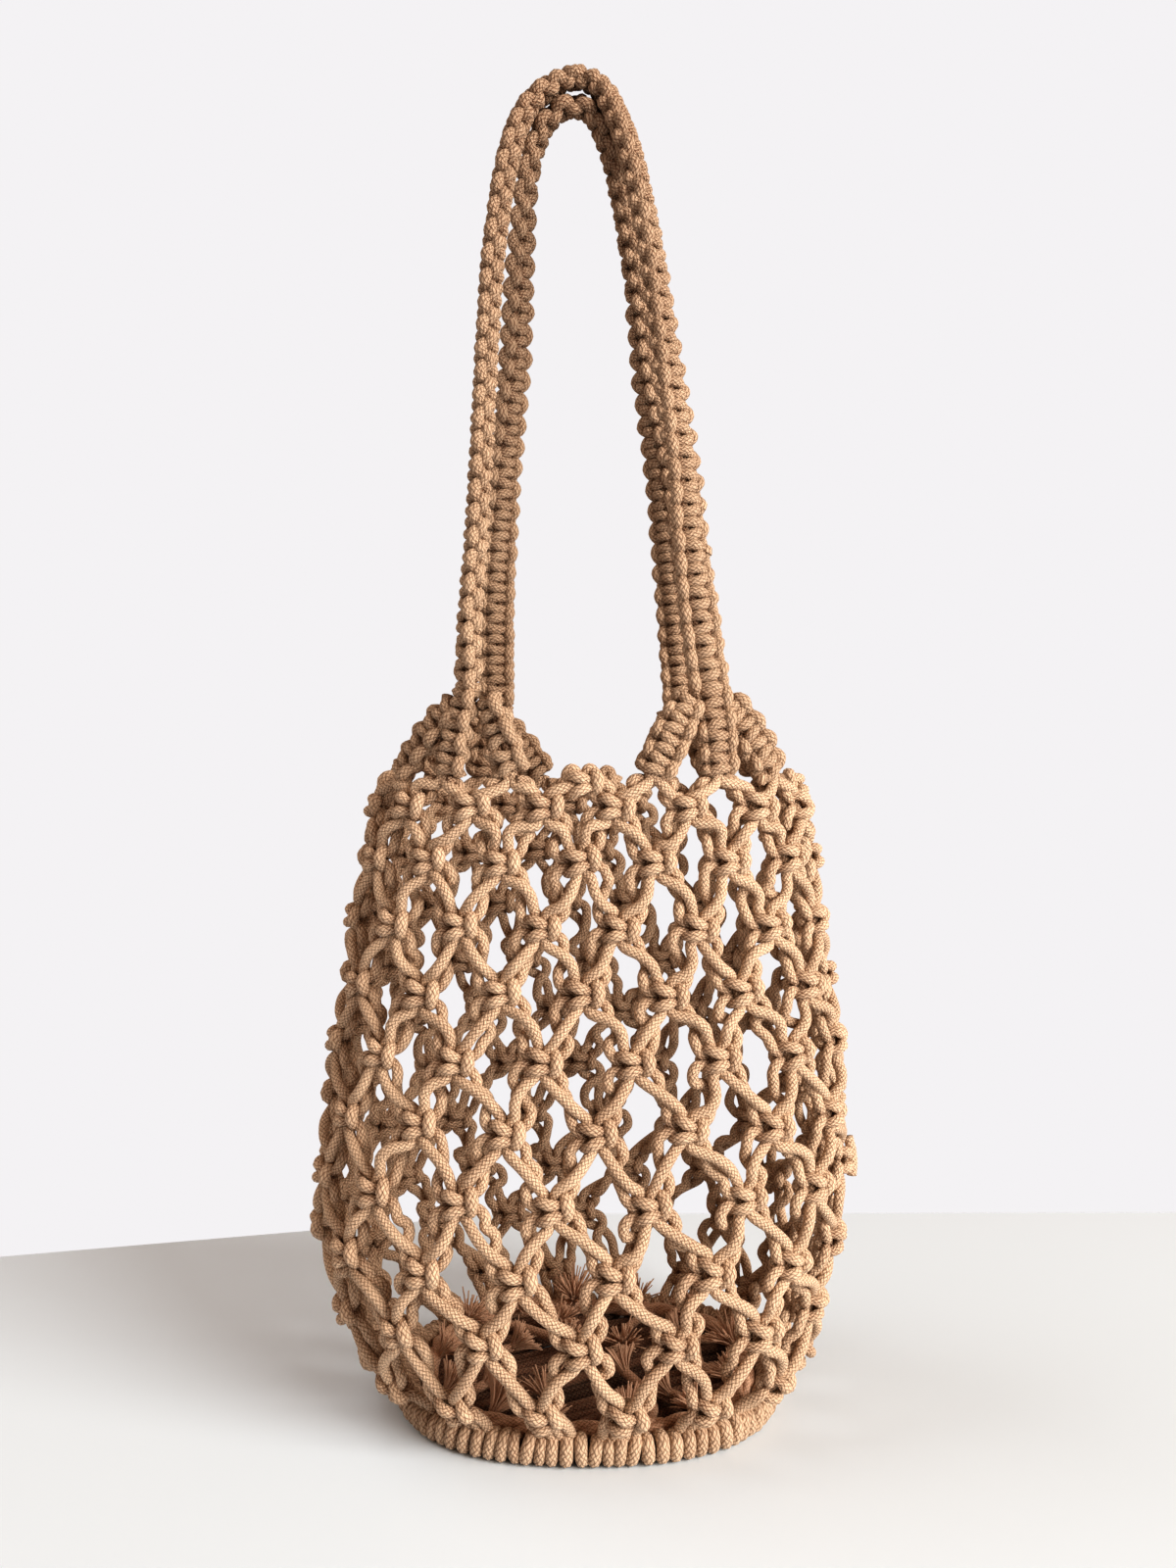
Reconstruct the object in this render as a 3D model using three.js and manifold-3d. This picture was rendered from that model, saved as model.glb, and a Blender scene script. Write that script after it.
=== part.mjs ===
// Knotted rope shoulder bag: an oval net of square knots on a wrapped base band, with two
// knotted handles that split into short knotted bands at the rim. Millimetres, +Z up,
// origin on the resting face under the middle of the bag, front towards -Y.
import * as THREE from 'three';
import { mergeVertices } from 'three/addons/utils/BufferGeometryUtils.js';
import Module from 'manifold-3d';

const wasm = await Module();
wasm.setup();

// Driving sizes
const cordSize = 5;
const clearance = 0.3;
const knotsPerRow = 16;
const rimHeight = 272;
const bodyWidth = 225;
const bodyDepth = 154;
const ovalPower = 2.4;
const bandWidth = 158;
const bandDepth = 134;
const bandHeight = 12;
const bandThickness = 9;
const floorThickness = 5;
const knotThickness = 13;
const netThickness = 8;
const knotFoot = 15;
const strapWidth = 17;
const strapThickness = 8.6;
const seatDepth = 3;
const legRise = 34;
const legSpan = 100;
const legDepth = 82;
const handleRise = 268;
const handleLean = 20;
const rimTurn = 62;
const bandHeadGap = 2.4;
const bandHeadDrop = 3;
const bandHeadForward = 2;
const bandBulge = 1.5;
const bandRound = 2.4;
const loopRadius = 5.25;
const loopLevel = 1;
const loopThickness = 10;
const endsHeight = 8;
const tuftLength = 17;
const tuftRoot = 9;
const tailHeight = 102.5;
const tailLength = 15;

// Height at which the knotted bands and loop knots of the rim meet the net, height of the
// foot of each handle leg, and height of the front handle's top.
const rimSeat = rimHeight - seatDepth;
const legHeight = rimHeight + legRise;
const handleTop = legHeight + handleRise;

// Rows of the net from the rim down to the base. Height is a share of rimHeight, width and
// depth are shares of bodyWidth and bodyDepth, lean is a sideways shift in cords, and drift
// is how far the row has slipped round the bag, in knot pitches.
const netRows = [
  { height: 1.000, width: 0.782, depth: 0.662, lean: 0.3, drift: -0.14 },
  { height: 0.952, width: 0.827, depth: 0.675, lean: 0.2, drift: -0.16 },
  { height: 0.868, width: 0.867, depth: 0.682, lean: 0.1, drift: -0.14 },
  { height: 0.772, width: 0.902, depth: 0.701, lean: 0.0, drift: -0.12 },
  { height: 0.673, width: 0.933, depth: 0.734, lean: 0.0, drift: -0.08 },
  { height: 0.577, width: 0.969, depth: 0.792, lean: -0.1, drift: 0.00 },
  { height: 0.478, width: 0.987, depth: 0.851, lean: -0.2, drift: 0.10 },
  { height: 0.377, width: 1.000, depth: 0.922, lean: -0.5, drift: 0.22 },
  { height: 0.279, width: 0.987, depth: 0.987, lean: -0.8, drift: 0.36 },
  { height: 0.184, width: 0.924, depth: 1.000, lean: -0.7, drift: 0.50 },
  { height: 0.081, width: 0.827, depth: 0.948, lean: -0.2, drift: 0.48 },
];

// Corners of one square knot seen from outside, in cords from its middle. Each pair of
// corners is the root of one link to a neighbouring knot.
const knotCorners = [
  { along: 0.5, up: 1.5 },
  { along: 2.3, up: 0.8 },
  { along: 2.3, up: -0.8 },
  { along: 0.5, up: -1.5 },
  { along: -0.5, up: -1.5 },
  { along: -2.3, up: -0.8 },
  { along: -2.3, up: 0.8 },
  { along: -0.5, up: 1.5 },
];

// Path of each handle from its left leg to its right leg. Rise runs from 0 at the foot of
// the leg to 1 at the top, side and depth are shares of half legSpan and half legDepth, lean
// is a share of handleLean, and turn is the angle of the flat band: 0 is edge-on from the
// front, -90 has its outer face to the front and 90 has it to the back.
const frontHandlePath = [
  { rise: 0.000, side: -1.000, depth: -1.00, lean: 0.0, turn: -34 },
  { rise: 0.130, side: -0.980, depth: -0.98, lean: 0.0, turn: -16 },
  { rise: 0.240, side: -0.935, depth: -0.94, lean: 0.0, turn: -14 },
  { rise: 0.350, side: -0.900, depth: -0.87, lean: 0.1, turn: -10 },
  { rise: 0.580, side: -0.840, depth: -0.64, lean: 0.4, turn: -6 },
  { rise: 0.690, side: -0.795, depth: -0.51, lean: 0.7, turn: -6 },
  { rise: 0.800, side: -0.720, depth: -0.37, lean: 0.9, turn: -8 },
  { rise: 0.885, side: -0.630, depth: -0.24, lean: 1.0, turn: -14 },
  { rise: 0.943, side: -0.512, depth: -0.12, lean: 1.0, turn: -20 },
  { rise: 0.983, side: -0.320, depth: -0.03, lean: 1.0, turn: -26 },
  { rise: 1.000, side: -0.090, depth: 0.00, lean: 1.0, turn: -30 },
  { rise: 0.980, side: 0.115, depth: -0.03, lean: 1.0, turn: -30 },
  { rise: 0.935, side: 0.230, depth: -0.12, lean: 1.0, turn: -28 },
  { rise: 0.880, side: 0.328, depth: -0.24, lean: 1.0, turn: -26 },
  { rise: 0.800, side: 0.425, depth: -0.37, lean: 0.9, turn: -25 },
  { rise: 0.690, side: 0.537, depth: -0.51, lean: 0.7, turn: -29 },
  { rise: 0.580, side: 0.625, depth: -0.64, lean: 0.4, turn: -38 },
  { rise: 0.350, side: 0.795, depth: -0.87, lean: 0.1, turn: -55 },
  { rise: 0.240, side: 0.850, depth: -0.94, lean: 0.0, turn: -70 },
  { rise: 0.130, side: 0.920, depth: -0.98, lean: 0.0, turn: -84 },
  { rise: 0.000, side: 1.020, depth: -1.00, lean: 0.0, turn: -86 },
];
const backHandlePath = [
  { rise: 0.000, side: -0.880, depth: 1.00, lean: 0.0, turn: 86 },
  { rise: 0.170, side: -0.885, depth: 0.96, lean: 0.0, turn: 80 },
  { rise: 0.290, side: -0.855, depth: 0.88, lean: 0.0, turn: 65 },
  { rise: 0.400, side: -0.805, depth: 0.77, lean: 0.1, turn: 48 },
  { rise: 0.580, side: -0.680, depth: 0.60, lean: 0.4, turn: 28 },
  { rise: 0.690, side: -0.630, depth: 0.48, lean: 0.7, turn: 20 },
  { rise: 0.800, side: -0.575, depth: 0.33, lean: 0.9, turn: 6 },
  { rise: 0.862, side: -0.525, depth: 0.23, lean: 1.0, turn: -6 },
  { rise: 0.906, side: -0.458, depth: 0.14, lean: 1.0, turn: -16 },
  { rise: 0.939, side: -0.335, depth: 0.05, lean: 1.0, turn: -24 },
  { rise: 0.955, side: -0.130, depth: 0.00, lean: 1.0, turn: -30 },
  { rise: 0.945, side: 0.045, depth: 0.04, lean: 1.0, turn: -30 },
  { rise: 0.912, side: 0.160, depth: 0.12, lean: 1.0, turn: -26 },
  { rise: 0.866, side: 0.245, depth: 0.22, lean: 1.0, turn: -20 },
  { rise: 0.800, side: 0.328, depth: 0.33, lean: 0.9, turn: -10 },
  { rise: 0.690, side: 0.440, depth: 0.48, lean: 0.7, turn: 0 },
  { rise: 0.580, side: 0.515, depth: 0.60, lean: 0.4, turn: 8 },
  { rise: 0.400, side: 0.690, depth: 0.77, lean: 0.1, turn: 28 },
  { rise: 0.170, side: 0.830, depth: 0.96, lean: 0.0, turn: 58 },
  { rise: 0.000, side: 0.900, depth: 1.00, lean: 0.0, turn: 80 },
];

// Frayed cord ends standing on the ring of ends inside the base: column round the bag,
// length and root size as shares of tuftLength and tuftRoot, and how far they lean inward.
const tufts = [
  { column: -2.7, length: 0.9, root: 1.0, lean: 40 },
  { column: -1.6, length: 1.1, root: 0.9, lean: 55 },
  { column: -0.6, length: 0.7, root: 1.1, lean: 50 },
  { column: 0.7, length: 1.0, root: 1.0, lean: 45 },
  { column: 1.9, length: 0.8, root: 0.9, lean: 55 },
  { column: 3.1, length: 1.0, root: 1.0, lean: 40 },
  { column: 4.4, length: 1.1, root: 1.1, lean: 35 },
  { column: 5.9, length: 0.9, root: 1.0, lean: 30 },
  { column: 7.0, length: 1.2, root: 0.9, lean: 35 },
  { column: 8.3, length: 1.1, root: 1.1, lean: 25 },
  { column: 9.4, length: 0.8, root: 1.0, lean: 40 },
  { column: 10.6, length: 1.0, root: 0.9, lean: 35 },
  { column: 11.9, length: 0.9, root: 1.0, lean: 45 },
];

const sectionSides = [
  { across: 1.00, out: 0.40 },
  { across: 0.70, out: 1.00 },
  { across: -0.70, out: 1.00 },
  { across: -1.00, out: 0.40 },
  { across: -1.00, out: -0.40 },
  { across: -0.70, out: -1.00 },
  { across: 0.70, out: -1.00 },
  { across: 1.00, out: -0.40 },
];

const up = new THREE.Vector3(0, 0, 1);

function ropeMaterial(color) {
  return new THREE.MeshStandardMaterial({ color, roughness: 0.9, metalness: 0 });
}

function mix(from, to, share) {
  return from + (to - from) * share;
}

// Points of an oval, with running length, starting at the front and going towards +X.
const ovalSteps = 720;
const ovalCache = new Map();
function ovalOutline(halfWidth, halfDepth) {
  const key = `${halfWidth.toFixed(4)},${halfDepth.toFixed(4)}`;
  if (ovalCache.has(key)) {
    return ovalCache.get(key);
  }
  const points = [];
  const lengths = [0];
  for (let step = 0; step <= ovalSteps; step += 1) {
    const angle = -Math.PI / 2 + (2 * Math.PI * step) / ovalSteps;
    const across = Math.cos(angle);
    const deep = Math.sin(angle);
    points.push(new THREE.Vector2(
      halfWidth * Math.sign(across) * Math.abs(across) ** (2 / ovalPower),
      halfDepth * Math.sign(deep) * Math.abs(deep) ** (2 / ovalPower),
    ));
    if (step > 0) {
      lengths.push(lengths[step - 1] + points[step].distanceTo(points[step - 1]));
    }
  }
  const outline = { points, lengths, total: lengths[ovalSteps] };
  ovalCache.set(key, outline);
  return outline;
}

// Point at a share of the way round an oval.
function ovalPoint(halfWidth, halfDepth, share) {
  const { points, lengths, total } = ovalOutline(halfWidth, halfDepth);
  const wanted = (share - Math.floor(share)) * total;
  let low = 0;
  let high = ovalSteps;
  while (high - low > 1) {
    const middle = Math.floor((low + high) / 2);
    if (lengths[middle] <= wanted) {
      low = middle;
    } else {
      high = middle;
    }
  }
  const part = (wanted - lengths[low]) / (lengths[high] - lengths[low]);
  return points[low].clone().lerp(points[high], part);
}

// Half width, half depth, lean and drift of the net at a height, from the rows above and
// below it. Under the last row the net closes in to the base band.
function netSection(height) {
  const rows = netRows.map((row) => ({
    height: row.height * rimHeight,
    halfWidth: (row.width * bodyWidth) / 2,
    halfDepth: (row.depth * bodyDepth) / 2,
    lean: row.lean * cordSize,
    drift: row.drift,
  }));
  const last = rows[rows.length - 1];
  rows.push({
    height: bandHeight,
    halfWidth: bandWidth / 2,
    halfDepth: bandDepth / 2,
    lean: 0,
    drift: last.drift,
  });
  let lower = 1;
  while (lower < rows.length - 1 && rows[lower].height > height) {
    lower += 1;
  }
  const a = rows[lower - 1];
  const b = rows[lower];
  const share = (height - a.height) / (b.height - a.height);
  return {
    halfWidth: mix(a.halfWidth, b.halfWidth, share),
    halfDepth: mix(a.halfDepth, b.halfDepth, share),
    lean: mix(a.lean, b.lean, share),
    drift: mix(a.drift, b.drift, share),
  };
}

// Point on the middle surface of the net: column in knot pitches from the front, height,
// and a distance along the wall from that column.
function netMiddle(column, height, along) {
  const section = netSection(height);
  const { total } = ovalOutline(section.halfWidth, section.halfDepth);
  const share = (column + section.drift) / knotsPerRow + along / total;
  const point = ovalPoint(section.halfWidth, section.halfDepth, share);
  return new THREE.Vector3(point.x + section.lean, point.y, height);
}

// Directions of the net wall at a column and height: along it, up it and out of it.
function netFrame(column, height) {
  const probe = 2;
  const along = netMiddle(column, height, probe).sub(netMiddle(column, height, -probe)).normalize();
  const rise = netMiddle(column, height + probe, 0).sub(netMiddle(column, height - probe, 0));
  const out = new THREE.Vector3().crossVectors(along, rise).normalize();
  const upward = new THREE.Vector3().crossVectors(out, along).normalize();
  return { along, upward, out };
}

// Builds a closed geometry from corner positions and triangles, with its faces pointing out.
function closedGeometry(points, triangles) {
  let volume = 0;
  const cross = new THREE.Vector3();
  for (const [a, b, c] of triangles) {
    volume += points[a].dot(cross.crossVectors(points[b], points[c]));
  }
  const index = triangles.flatMap(([a, b, c]) => (volume > 0 ? [a, b, c] : [a, c, b]));
  const geometry = new THREE.BufferGeometry();
  const flat = points.flatMap((point) => [point.x, point.y, point.z]);
  geometry.setAttribute('position', new THREE.Float32BufferAttribute(flat, 3));
  geometry.setIndex(index);
  geometry.computeVertexNormals();
  return geometry;
}

// Skins a run of sections that all have the same number of corners. Open runs get flat
// ends, closed runs join the last section to the first.
function skin(sections, closed) {
  const corners = sections[0].length;
  const points = sections.flat();
  const triangles = [];
  const spans = closed ? sections.length : sections.length - 1;
  for (let span = 0; span < spans; span += 1) {
    const here = span * corners;
    const next = ((span + 1) % sections.length) * corners;
    for (let corner = 0; corner < corners; corner += 1) {
      const beside = (corner + 1) % corners;
      triangles.push([here + corner, here + beside, next + beside]);
      triangles.push([here + corner, next + beside, next + corner]);
    }
  }
  if (!closed) {
    const end = (sections.length - 1) * corners;
    for (let corner = 1; corner < corners - 1; corner += 1) {
      triangles.push([0, corner + 1, corner]);
      triangles.push([end, end + corner, end + corner + 1]);
    }
  }
  return closedGeometry(points, triangles);
}

// One rounded flat section of a knotted band.
function strapSection(centre, across, out, width, thickness) {
  return sectionSides.map((side) => centre.clone()
    .addScaledVector(across, (side.across * width) / 2)
    .addScaledVector(out, (side.out * thickness) / 2));
}

// A flat knotted band along stations that each give a centre, a direction across the band
// and a width. The section stays square to the path, unless the station sets its direction.
function strap(stations) {
  const sections = stations.map((station, place) => {
    const before = stations[Math.max(place - 1, 0)].centre;
    const after = stations[Math.min(place + 1, stations.length - 1)].centre;
    const forward = station.forward ?? after.clone().sub(before).normalize();
    const across = station.across.clone().addScaledVector(forward, -station.across.dot(forward));
    across.normalize();
    const out = new THREE.Vector3().crossVectors(forward, across);
    return strapSection(station.centre, across, out, station.width, strapThickness);
  });
  return skin(sections, false);
}

// The pierced net. Every knot is an eight-cornered patch, thicker in its middle, and every
// link is a strip between the corners of two knots. The patches are laid out on the middle
// surface and thickened, and the diamonds between them stay open.
function netGeometry() {
  const outer = [];
  const inner = [];
  const patches = [];

  const addCorner = (column, height, along, rise, thickness) => {
    const level = height + rise;
    const middle = netMiddle(column, level, along);
    const beside = netMiddle(column, level, along + 1).sub(netMiddle(column, level, along - 1));
    const out = beside.cross(up).normalize();
    outer.push(middle.clone().addScaledVector(out, thickness / 2));
    inner.push(middle.clone().addScaledVector(out, -thickness / 2));
    return outer.length - 1;
  };

  const knots = netRows.map((row, rowNumber) => {
    if (rowNumber === 0) {
      return null;
    }
    const height = row.height * rimHeight;
    const columns = [];
    for (let knot = 0; knot < knotsPerRow; knot += 1) {
      const column = knot + (rowNumber % 2) / 2 - knotsPerRow / 2;
      const corners = knotCorners.map((corner) => addCorner(
        column, height, corner.along * cordSize, corner.up * cordSize, netThickness,
      ));
      const middle = addCorner(column, height, 0, 0, knotThickness);
      corners.forEach((corner, place) => {
        patches.push([middle, corners[(place + 1) % corners.length], corner]);
      });
      columns.push({ column, height, corners });
    }
    return columns;
  });

  const wrap = (knot) => (knot + knotsPerRow) % knotsPerRow;
  for (let rowNumber = 1; rowNumber < netRows.length - 1; rowNumber += 1) {
    const halfStep = rowNumber % 2;
    for (let knot = 0; knot < knotsPerRow; knot += 1) {
      const here = knots[rowNumber][knot].corners;
      const right = knots[rowNumber + 1][wrap(knot + halfStep)].corners;
      const left = knots[rowNumber + 1][wrap(knot + halfStep - 1)].corners;
      patches.push([here[2], here[3], right[6]], [here[2], right[6], right[7]]);
      patches.push([here[5], left[0], left[1]], [here[5], left[1], here[4]]);
    }
  }

  // Each knot of the top row reaches up to the knotted bands above it on both sides.
  const hornWidth = strapWidth / 2 - 2 * clearance;
  const hornTop = rimSeat - clearance;
  for (const { column, corners } of knots[1]) {
    for (const side of [1, -1]) {
      const foot = side > 0 ? [corners[0], corners[1]] : [corners[6], corners[7]];
      const middle = -side * (hornWidth / 2 + clearance);
      const edges = [-1, 1].map((edge) => addCorner(
        column + side / 2, hornTop, middle + (edge * hornWidth) / 2, 0, netThickness,
      ));
      patches.push([foot[1], edges[1], edges[0]], [foot[1], edges[0], foot[0]]);
    }
  }

  // Each knot of the bottom row stands on the base band.
  const footTop = bandHeight + clearance;
  for (const { column, corners } of knots[netRows.length - 1]) {
    const edges = [-1, 1].map((edge) => addCorner(
      column, footTop, (edge * knotFoot) / 2, 0, netThickness,
    ));
    patches.push([corners[5], edges[0], corners[4]]);
    patches.push([corners[4], edges[0], edges[1]], [corners[4], edges[1], corners[3]]);
    patches.push([corners[3], edges[1], corners[2]]);
  }
  return thickened(outer, inner, patches);
}

// Closes a layer of patches: the outer faces, the same faces turned round on the inside,
// and a wall along every edge that only one patch has.
function thickened(outer, inner, patches) {
  const count = outer.length;
  const triangles = [];
  const edges = new Set(patches.flatMap(([a, b, c]) => [`${a},${b}`, `${b},${c}`, `${c},${a}`]));
  for (const [a, b, c] of patches) {
    triangles.push([a, b, c], [count + a, count + c, count + b]);
    for (const [from, to] of [[a, b], [b, c], [c, a]]) {
      if (!edges.has(`${to},${from}`)) {
        triangles.push([from, count + from, count + to], [from, count + to, to]);
      }
    }
  }
  return closedGeometry([...outer, ...inner], triangles);
}

// Path of a handle: up from the rim, through the foot of one leg, over the top and down.
function handleGeometry(path, faceSide) {
  const halfSpan = legSpan / 2;
  const halfDepth = legDepth / 2;
  const spots = path.map((spot) => ({
    centre: new THREE.Vector3(
      spot.side * halfSpan,
      spot.depth * halfDepth - spot.lean * handleLean,
      mix(legHeight, handleTop, spot.rise),
    ),
    turn: spot.turn,
  }));
  const rimSpot = (side) => {
    const column = faceSide < 0 ? side * 2 : knotsPerRow / 2 - side * 2;
    const { drift } = netSection(rimSeat);
    return [0, strapWidth / 2].map((lift) => ({
      centre: netMiddle(column - drift, rimSeat + lift, 0),
      turn: rimTurn * faceSide,
    }));
  };
  const all = [...rimSpot(-1), ...spots, ...rimSpot(1).reverse()];
  const curve = new THREE.CatmullRomCurve3(all.map((spot) => spot.centre), false, 'centripetal');
  const turns = new THREE.CatmullRomCurve3(
    all.map((spot, place) => new THREE.Vector3(place, spot.turn, 0)), false, 'centripetal',
  );
  const stationSpacing = 2 * cordSize;
  const steps = Math.round(curve.getLength() / stationSpacing);
  const stations = [];
  for (let step = 0; step <= steps; step += 1) {
    const along = curve.getUtoTmapping(step / steps);
    const forward = curve.getTangent(along);
    const turn = THREE.MathUtils.degToRad(turns.getPoint(along).y);
    const edgeOn = new THREE.Vector3(0, 1, 0);
    edgeOn.addScaledVector(forward, -edgeOn.dot(forward)).normalize();
    const faceOn = new THREE.Vector3().crossVectors(edgeOn, forward);
    stations.push({
      centre: curve.getPoint(along),
      across: edgeOn.multiplyScalar(Math.cos(turn)).addScaledVector(faceOn, Math.sin(turn)),
      width: strapWidth,
    });
  }
  stations[0].forward = up;
  stations.at(-1).forward = up.clone().negate();
  return strap(stations);
}

// A short knotted band from the foot of a handle leg down to the net beside it.
function rimStrapGeometry(leg, step) {
  const column = leg.column + step * leg.turn;
  const { drift } = netSection(rimSeat);
  const foot = netMiddle(column - drift, rimSeat, 0);
  const narrow = strapWidth / 2;
  const frame = netFrame(column - drift, rimHeight);
  const sideways = -step * leg.turn * leg.faceSide;
  const head = leg.foot.clone();
  head.x += sideways * ((strapWidth + narrow) / 2 + bandHeadGap);
  head.y += leg.faceSide * bandHeadForward;
  head.z -= bandHeadDrop;
  const footWidth = strapWidth - 1;
  const levels = [0, 0.3, 0.65, 1];
  return strap(levels.map((level) => {
    const centre = foot.clone().lerp(head, level);
    centre.addScaledVector(frame.out, Math.sin(level * Math.PI) * bandBulge);
    const across = frame.along.clone().lerp(new THREE.Vector3(-leg.faceSide, 0, 0), level);
    const forward = level === 0 ? up : undefined;
    return { centre, across, forward, width: mix(footWidth, narrow, level ** 1.5) };
  }));
}

// A loop-topped knot on the rim between two legs: a flat knot with two round loops on top.
function rimKnotGeometry() {
  const half = 2 * loopRadius;
  const dip = 0.15 * Math.PI;
  const shape = new THREE.Shape();
  shape.moveTo(-half, -seatDepth);
  shape.lineTo(half, -seatDepth);
  shape.absarc(loopRadius, loopLevel, loopRadius, 0, Math.PI - dip, false);
  shape.absarc(-loopRadius, loopLevel, loopRadius, dip, Math.PI, false);
  const geometry = new THREE.ExtrudeGeometry(shape, {
    depth: loopThickness,
    bevelEnabled: false,
    curveSegments: 6,
  });
  geometry.translate(0, 0, -loopThickness / 2);
  return geometry;
}

// The wrapped ring under the net, with a flat underside.
function bandGeometry() {
  const sections = [];
  const steps = 4 * knotsPerRow;
  const half = bandThickness / 2;
  const corners = [
    { out: -half + bandRound / 2, up: 0 },
    { out: half - bandRound / 2, up: 0 },
    { out: half, up: bandRound },
    { out: half, up: bandHeight - bandRound },
    { out: half - bandRound, up: bandHeight },
    { out: -half + bandRound, up: bandHeight },
    { out: -half, up: bandHeight - bandRound },
    { out: -half, up: bandRound },
  ];
  for (let step = 0; step < steps; step += 1) {
    sections.push(corners.map((corner) => {
      const point = ovalPoint(bandWidth / 2 + corner.out, bandDepth / 2 + corner.out, step / steps);
      return new THREE.Vector3(point.x, point.y, corner.up);
    }));
  }
  return skin(sections, true);
}

// The floor of cords laid side by side inside the base band.
function floorGeometry() {
  const inset = bandThickness / 2 + clearance;
  const steps = 3 * knotsPerRow;
  const outline = [];
  for (let step = 0; step < steps; step += 1) {
    outline.push(ovalPoint(bandWidth / 2 - inset, bandDepth / 2 - inset, step / steps));
  }
  return new THREE.ExtrudeGeometry(new THREE.Shape(outline), {
    depth: floorThickness,
    bevelEnabled: false,
  });
}

function solidOf(geometry) {
  const bare = new THREE.BufferGeometry();
  bare.setAttribute('position', geometry.getAttribute('position').clone());
  if (geometry.index) {
    bare.setIndex(geometry.index.clone());
  }
  const merged = mergeVertices(bare, 1e-4);
  return new wasm.Manifold(new wasm.Mesh({
    numProp: 3,
    vertProperties: new Float32Array(merged.getAttribute('position').array),
    triVerts: new Uint32Array(merged.index.array),
  }));
}

function geometryOf(solid) {
  const mesh = solid.getMesh();
  const geometry = new THREE.BufferGeometry();
  geometry.setAttribute('position', new THREE.BufferAttribute(mesh.vertProperties, 3));
  geometry.setIndex(new THREE.BufferAttribute(mesh.triVerts, 1));
  geometry.computeVertexNormals();
  return geometry;
}

// The bundle of cord ends that lies round the inside of the base, with frayed locks on it.
function cordEndsGeometry() {
  const inset = bandThickness / 2 + clearance + endsHeight / 2;
  const bottom = floorThickness + clearance;
  const steps = 2 * knotsPerRow;
  const sides = 6;
  const halfWidth = bandWidth / 2 - inset;
  const halfDepth = bandDepth / 2 - inset;
  const sections = [];
  for (let step = 0; step < steps; step += 1) {
    const section = [];
    for (let side = 0; side < sides; side += 1) {
      const angle = (2 * Math.PI * (side + 0.5)) / sides;
      const out = (Math.cos(angle) * endsHeight) / 2;
      const point = ovalPoint(halfWidth + out, halfDepth + out, step / steps);
      const lift = (Math.sin(angle) * endsHeight) / 2;
      section.push(new THREE.Vector3(point.x, point.y, bottom + endsHeight / 2 + lift));
    }
    sections.push(section);
  }
  let solid = solidOf(skin(sections, true));
  for (const tuft of tufts) {
    const share = tuft.column / knotsPerRow;
    const root = ovalPoint(halfWidth, halfDepth, share);
    const inward = ovalPoint(halfWidth - 1, halfDepth - 1, share).sub(root);
    const lean = THREE.MathUtils.degToRad(tuft.lean);
    const length = tuft.length * tuftLength;
    const lock = new THREE.CylinderGeometry(
      (tuft.root * tuftRoot) / 2, (tuft.root * tuftRoot) / 3, length, 6, 1,
    );
    lock.rotateX(Math.PI / 2);
    lock.translate(0, 0, length / 2);
    lock.rotateY(lean);
    lock.rotateZ(Math.atan2(inward.y, inward.x));
    lock.translate(root.x, root.y, bottom + endsHeight / 2);
    solid = solid.add(solidOf(lock));
  }
  return geometryOf(solid);
}

// A short cut tail of cord that stands out of the right side of the net.
function tailGeometry() {
  const rightSide = knotsPerRow / 4;
  const column = rightSide - netSection(tailHeight).drift;
  const frame = netFrame(column, tailHeight);
  const start = netMiddle(column, tailHeight, 0);
  const reach = (netThickness + cordSize) / 2 + clearance;
  const root = start.clone().addScaledVector(frame.out, reach).addScaledVector(up, 0.4 * tailLength);
  const route = new THREE.CatmullRomCurve3([
    root,
    root.clone().addScaledVector(frame.out, 0.1 * tailLength).addScaledVector(up, -0.5 * tailLength),
    root.clone().addScaledVector(frame.out, 0.15 * tailLength).addScaledVector(up, -tailLength),
  ]);
  const ring = new THREE.Shape();
  ring.absarc(0, 0, cordSize / 2, 0, 2 * Math.PI, false);
  return new THREE.ExtrudeGeometry(ring, { extrudePath: route, steps: 5, curveSegments: 4 });
}

const netMaterial = ropeMaterial(0xc09468);
const handleMaterial = ropeMaterial(0xc39a6d);
const baseMaterial = ropeMaterial(0xb98d62);
const endsMaterial = ropeMaterial(0xa27a55);

const bag = new THREE.Group();

function place(name, geometry, material) {
  const mesh = new THREE.Mesh(geometry, material.clone());
  mesh.name = name;
  bag.add(mesh);
  return mesh;
}

place('net_body', netGeometry(), netMaterial);
place('base_band', bandGeometry(), baseMaterial);
place('base_floor', floorGeometry(), baseMaterial);
place('cord_ends', cordEndsGeometry(), endsMaterial);
place('handle_front', handleGeometry(frontHandlePath, -1), handleMaterial);
place('handle_back', handleGeometry(backHandlePath, 1), handleMaterial);

// Two short bands beside each handle leg.
const legs = [
  { name: 'front_left', column: -2, turn: 1, faceSide: -1, spot: frontHandlePath[0] },
  { name: 'front_right', column: 2, turn: -1, faceSide: -1, spot: frontHandlePath.at(-1) },
  { name: 'back_left', column: 10, turn: -1, faceSide: 1, spot: backHandlePath[0] },
  { name: 'back_right', column: 6, turn: 1, faceSide: 1, spot: backHandlePath.at(-1) },
];
for (const leg of legs) {
  leg.foot = new THREE.Vector3(
    (leg.spot.side * legSpan) / 2, (leg.spot.depth * legDepth) / 2, legHeight,
  );
  place(`rim_strap_${leg.name}_inner`, rimStrapGeometry(leg, 1), handleMaterial);
  place(`rim_strap_${leg.name}_outer`, rimStrapGeometry(leg, -1), handleMaterial);
}

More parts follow.
